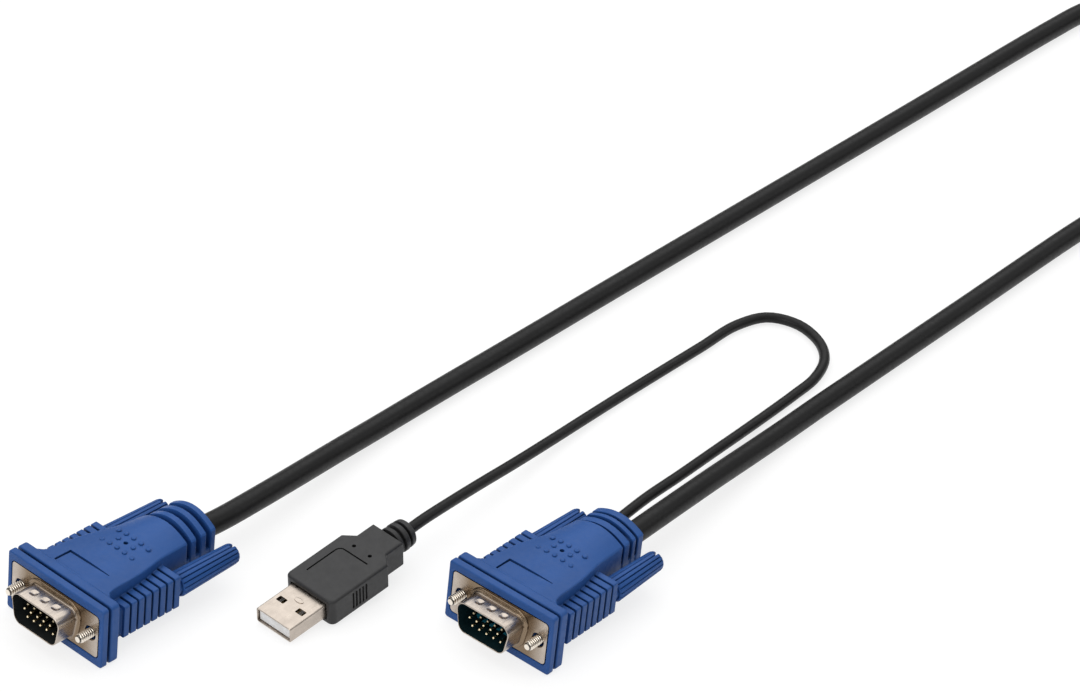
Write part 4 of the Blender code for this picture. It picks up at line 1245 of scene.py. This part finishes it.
def coil_points():
    """The cable's own turns: in along the bottom row, up at the core, out along the top row."""
    total = pi / 2 - COIL_EXIT + COIL_FULL_TURNS * 2 * pi
    count = int(total / (2 * pi) * 40)
    points = []
    for k in range(count + 1):
        turned = total * k / count
        inward = min(turned, total - turned) / (2 * pi)
        radius = COIL_OUTER - CABLE_DIAMETER * 1.005 * inward
        climb = max(0.0, min(1.0, (turned - total / 2) / COIL_CLIMB + 0.5))
        climb = climb * climb * (3 - 2 * climb)
        angle = pi / 2 - turned
        points.append((COIL_CENTRE[0] + radius * cos(angle),
                       COIL_CENTRE[1] + radius * sin(angle),
                       COIL_ROW + CABLE_DIAMETER * 1.005 * climb))
    return points


def make_cord(name, points, diameter, sides, material, *nodes):
    curve = bpy.data.curves.new(name, "CURVE")
    curve.dimensions = "3D"
    curve.bevel_depth = diameter / 2 * MM
    curve.bevel_resolution = sides
    curve.use_fill_caps = True
    spline = curve.splines.new("POLY")
    spline.points.add(len(points) - 1)
    for spot, place in zip(spline.points, points):
        spot.co = (*(Vector(place) * MM), 1.0)
    spline.use_smooth = True
    curve.materials.append(material)
    cord = add_object(name, curve)
    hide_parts(*nodes)
    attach(cord, ROOT)
    return cord


def make_cables():
    left = smooth_route(LEFT_ROUTE, 200)
    right = smooth_route(RIGHT_ROUTE, 140)
    coil = coil_points()
    lead_out = smooth_route([coil[-1], *COIL_LEAD_OUT, tuple(right[-1])], 10)
    points = left + coil + lead_out[1:] + list(reversed(right))[1:]
    cable = make_cord("main_cable", points, CABLE_DIAMETER, 7, FINISHES["cable"],
                      "main_cable_left_run", "main_cable_coil", "main_cable_right_run")
    tie = make_tie()
    points = smooth_route(PIGTAIL_ROUTE, 170)
    pigtail = make_cord("usb_pigtail", points, USB_CABLE_DIAMETER, 6, FINISHES["pigtail"], "usb_cable")


def make_tie():
    """Hook and loop strap drawn tight round the coil, with its end lapped on top."""
    middle = COIL_ROW + CABLE_DIAMETER / 2
    corner = CABLE_DIAMETER / 2

    def ring(grow):
        return rounded(BUNDLE_WIDTH + 2 * grow, BUNDLE_HEIGHT + 2 * grow, corner + grow, 8, 0.0, middle)

    width = TIE_WIDTH / 2
    tie = solid("coil_strap", along_y([(-width, ring(TIE_THICKNESS)), (width, ring(TIE_THICKNESS))]))
    top = middle + BUNDLE_HEIGHT / 2 + TIE_THICKNESS
    lap = [(-3.6, top - 0.2), (4.2, top - 0.2), (4.2, top + 0.1), (3.2, top + 0.55), (-3.6, top + 0.55)]
    carve(tie, along_y([(-width + 0.25, lap), (width - 0.25, lap)]), "UNION")
    carve(tie, along_y([(-width - 1, ring(0.0)), (width + 1, ring(0.0))]))
    bevel(tie, 0.12)
    place = Matrix.Translation(Vector((COIL_CENTRE[0] + BUNDLE_RADIUS * cos(TIE_ANGLE),
                                       COIL_CENTRE[1] + BUNDLE_RADIUS * sin(TIE_ANGLE),
                                       0.0)) * MM) @ Matrix.Rotation(TIE_ANGLE, 4, "Z")
    return finish_piece(tie, place, "strap", "coil_tie")


def dress_cad_nodes():
    """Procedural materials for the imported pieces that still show."""
    wanted = {"left_inner_mould": "cream", "right_inner_mould": "cream",
              "left_rear_shell": "nickel", "right_rear_shell": "nickel"}
    wanted.update({f"usb_contact_{k}": "gold" for k in range(1, 5)})
    for node, finish in wanted.items():
        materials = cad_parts[node].data.materials
        materials.clear()
        materials.append(FINISHES[finish])


def main():
    bpy.context.scene.view_settings.view_transform = "Standard"
    make_camera()
    make_world()
    for name, (place, aim, size, watts) in LAMPS.items():
        make_lamp(name, place, aim, size, watts)
    make_floor()
    make_overmould()
    make_usb_shell()
    make_tongue()
    make_cables()
    make_plug("left", LEFT_FRAME, LEFT_KNOB_LENGTH, LEFT_GROOVES, LEFT_FIN_APEX, LEFT_CORE,
              [(0.0, CABLE_DIAMETER)])
    make_plug("right", RIGHT_FRAME, RIGHT_KNOB_LENGTH, RIGHT_GROOVES, RIGHT_FIN_APEX, RIGHT_CORE,
              [(RIGHT_CABLE_OFFSET, CABLE_DIAMETER), (PIGTAIL_OFFSET, USB_CABLE_DIAMETER)])
    dress_cad_nodes()


main()
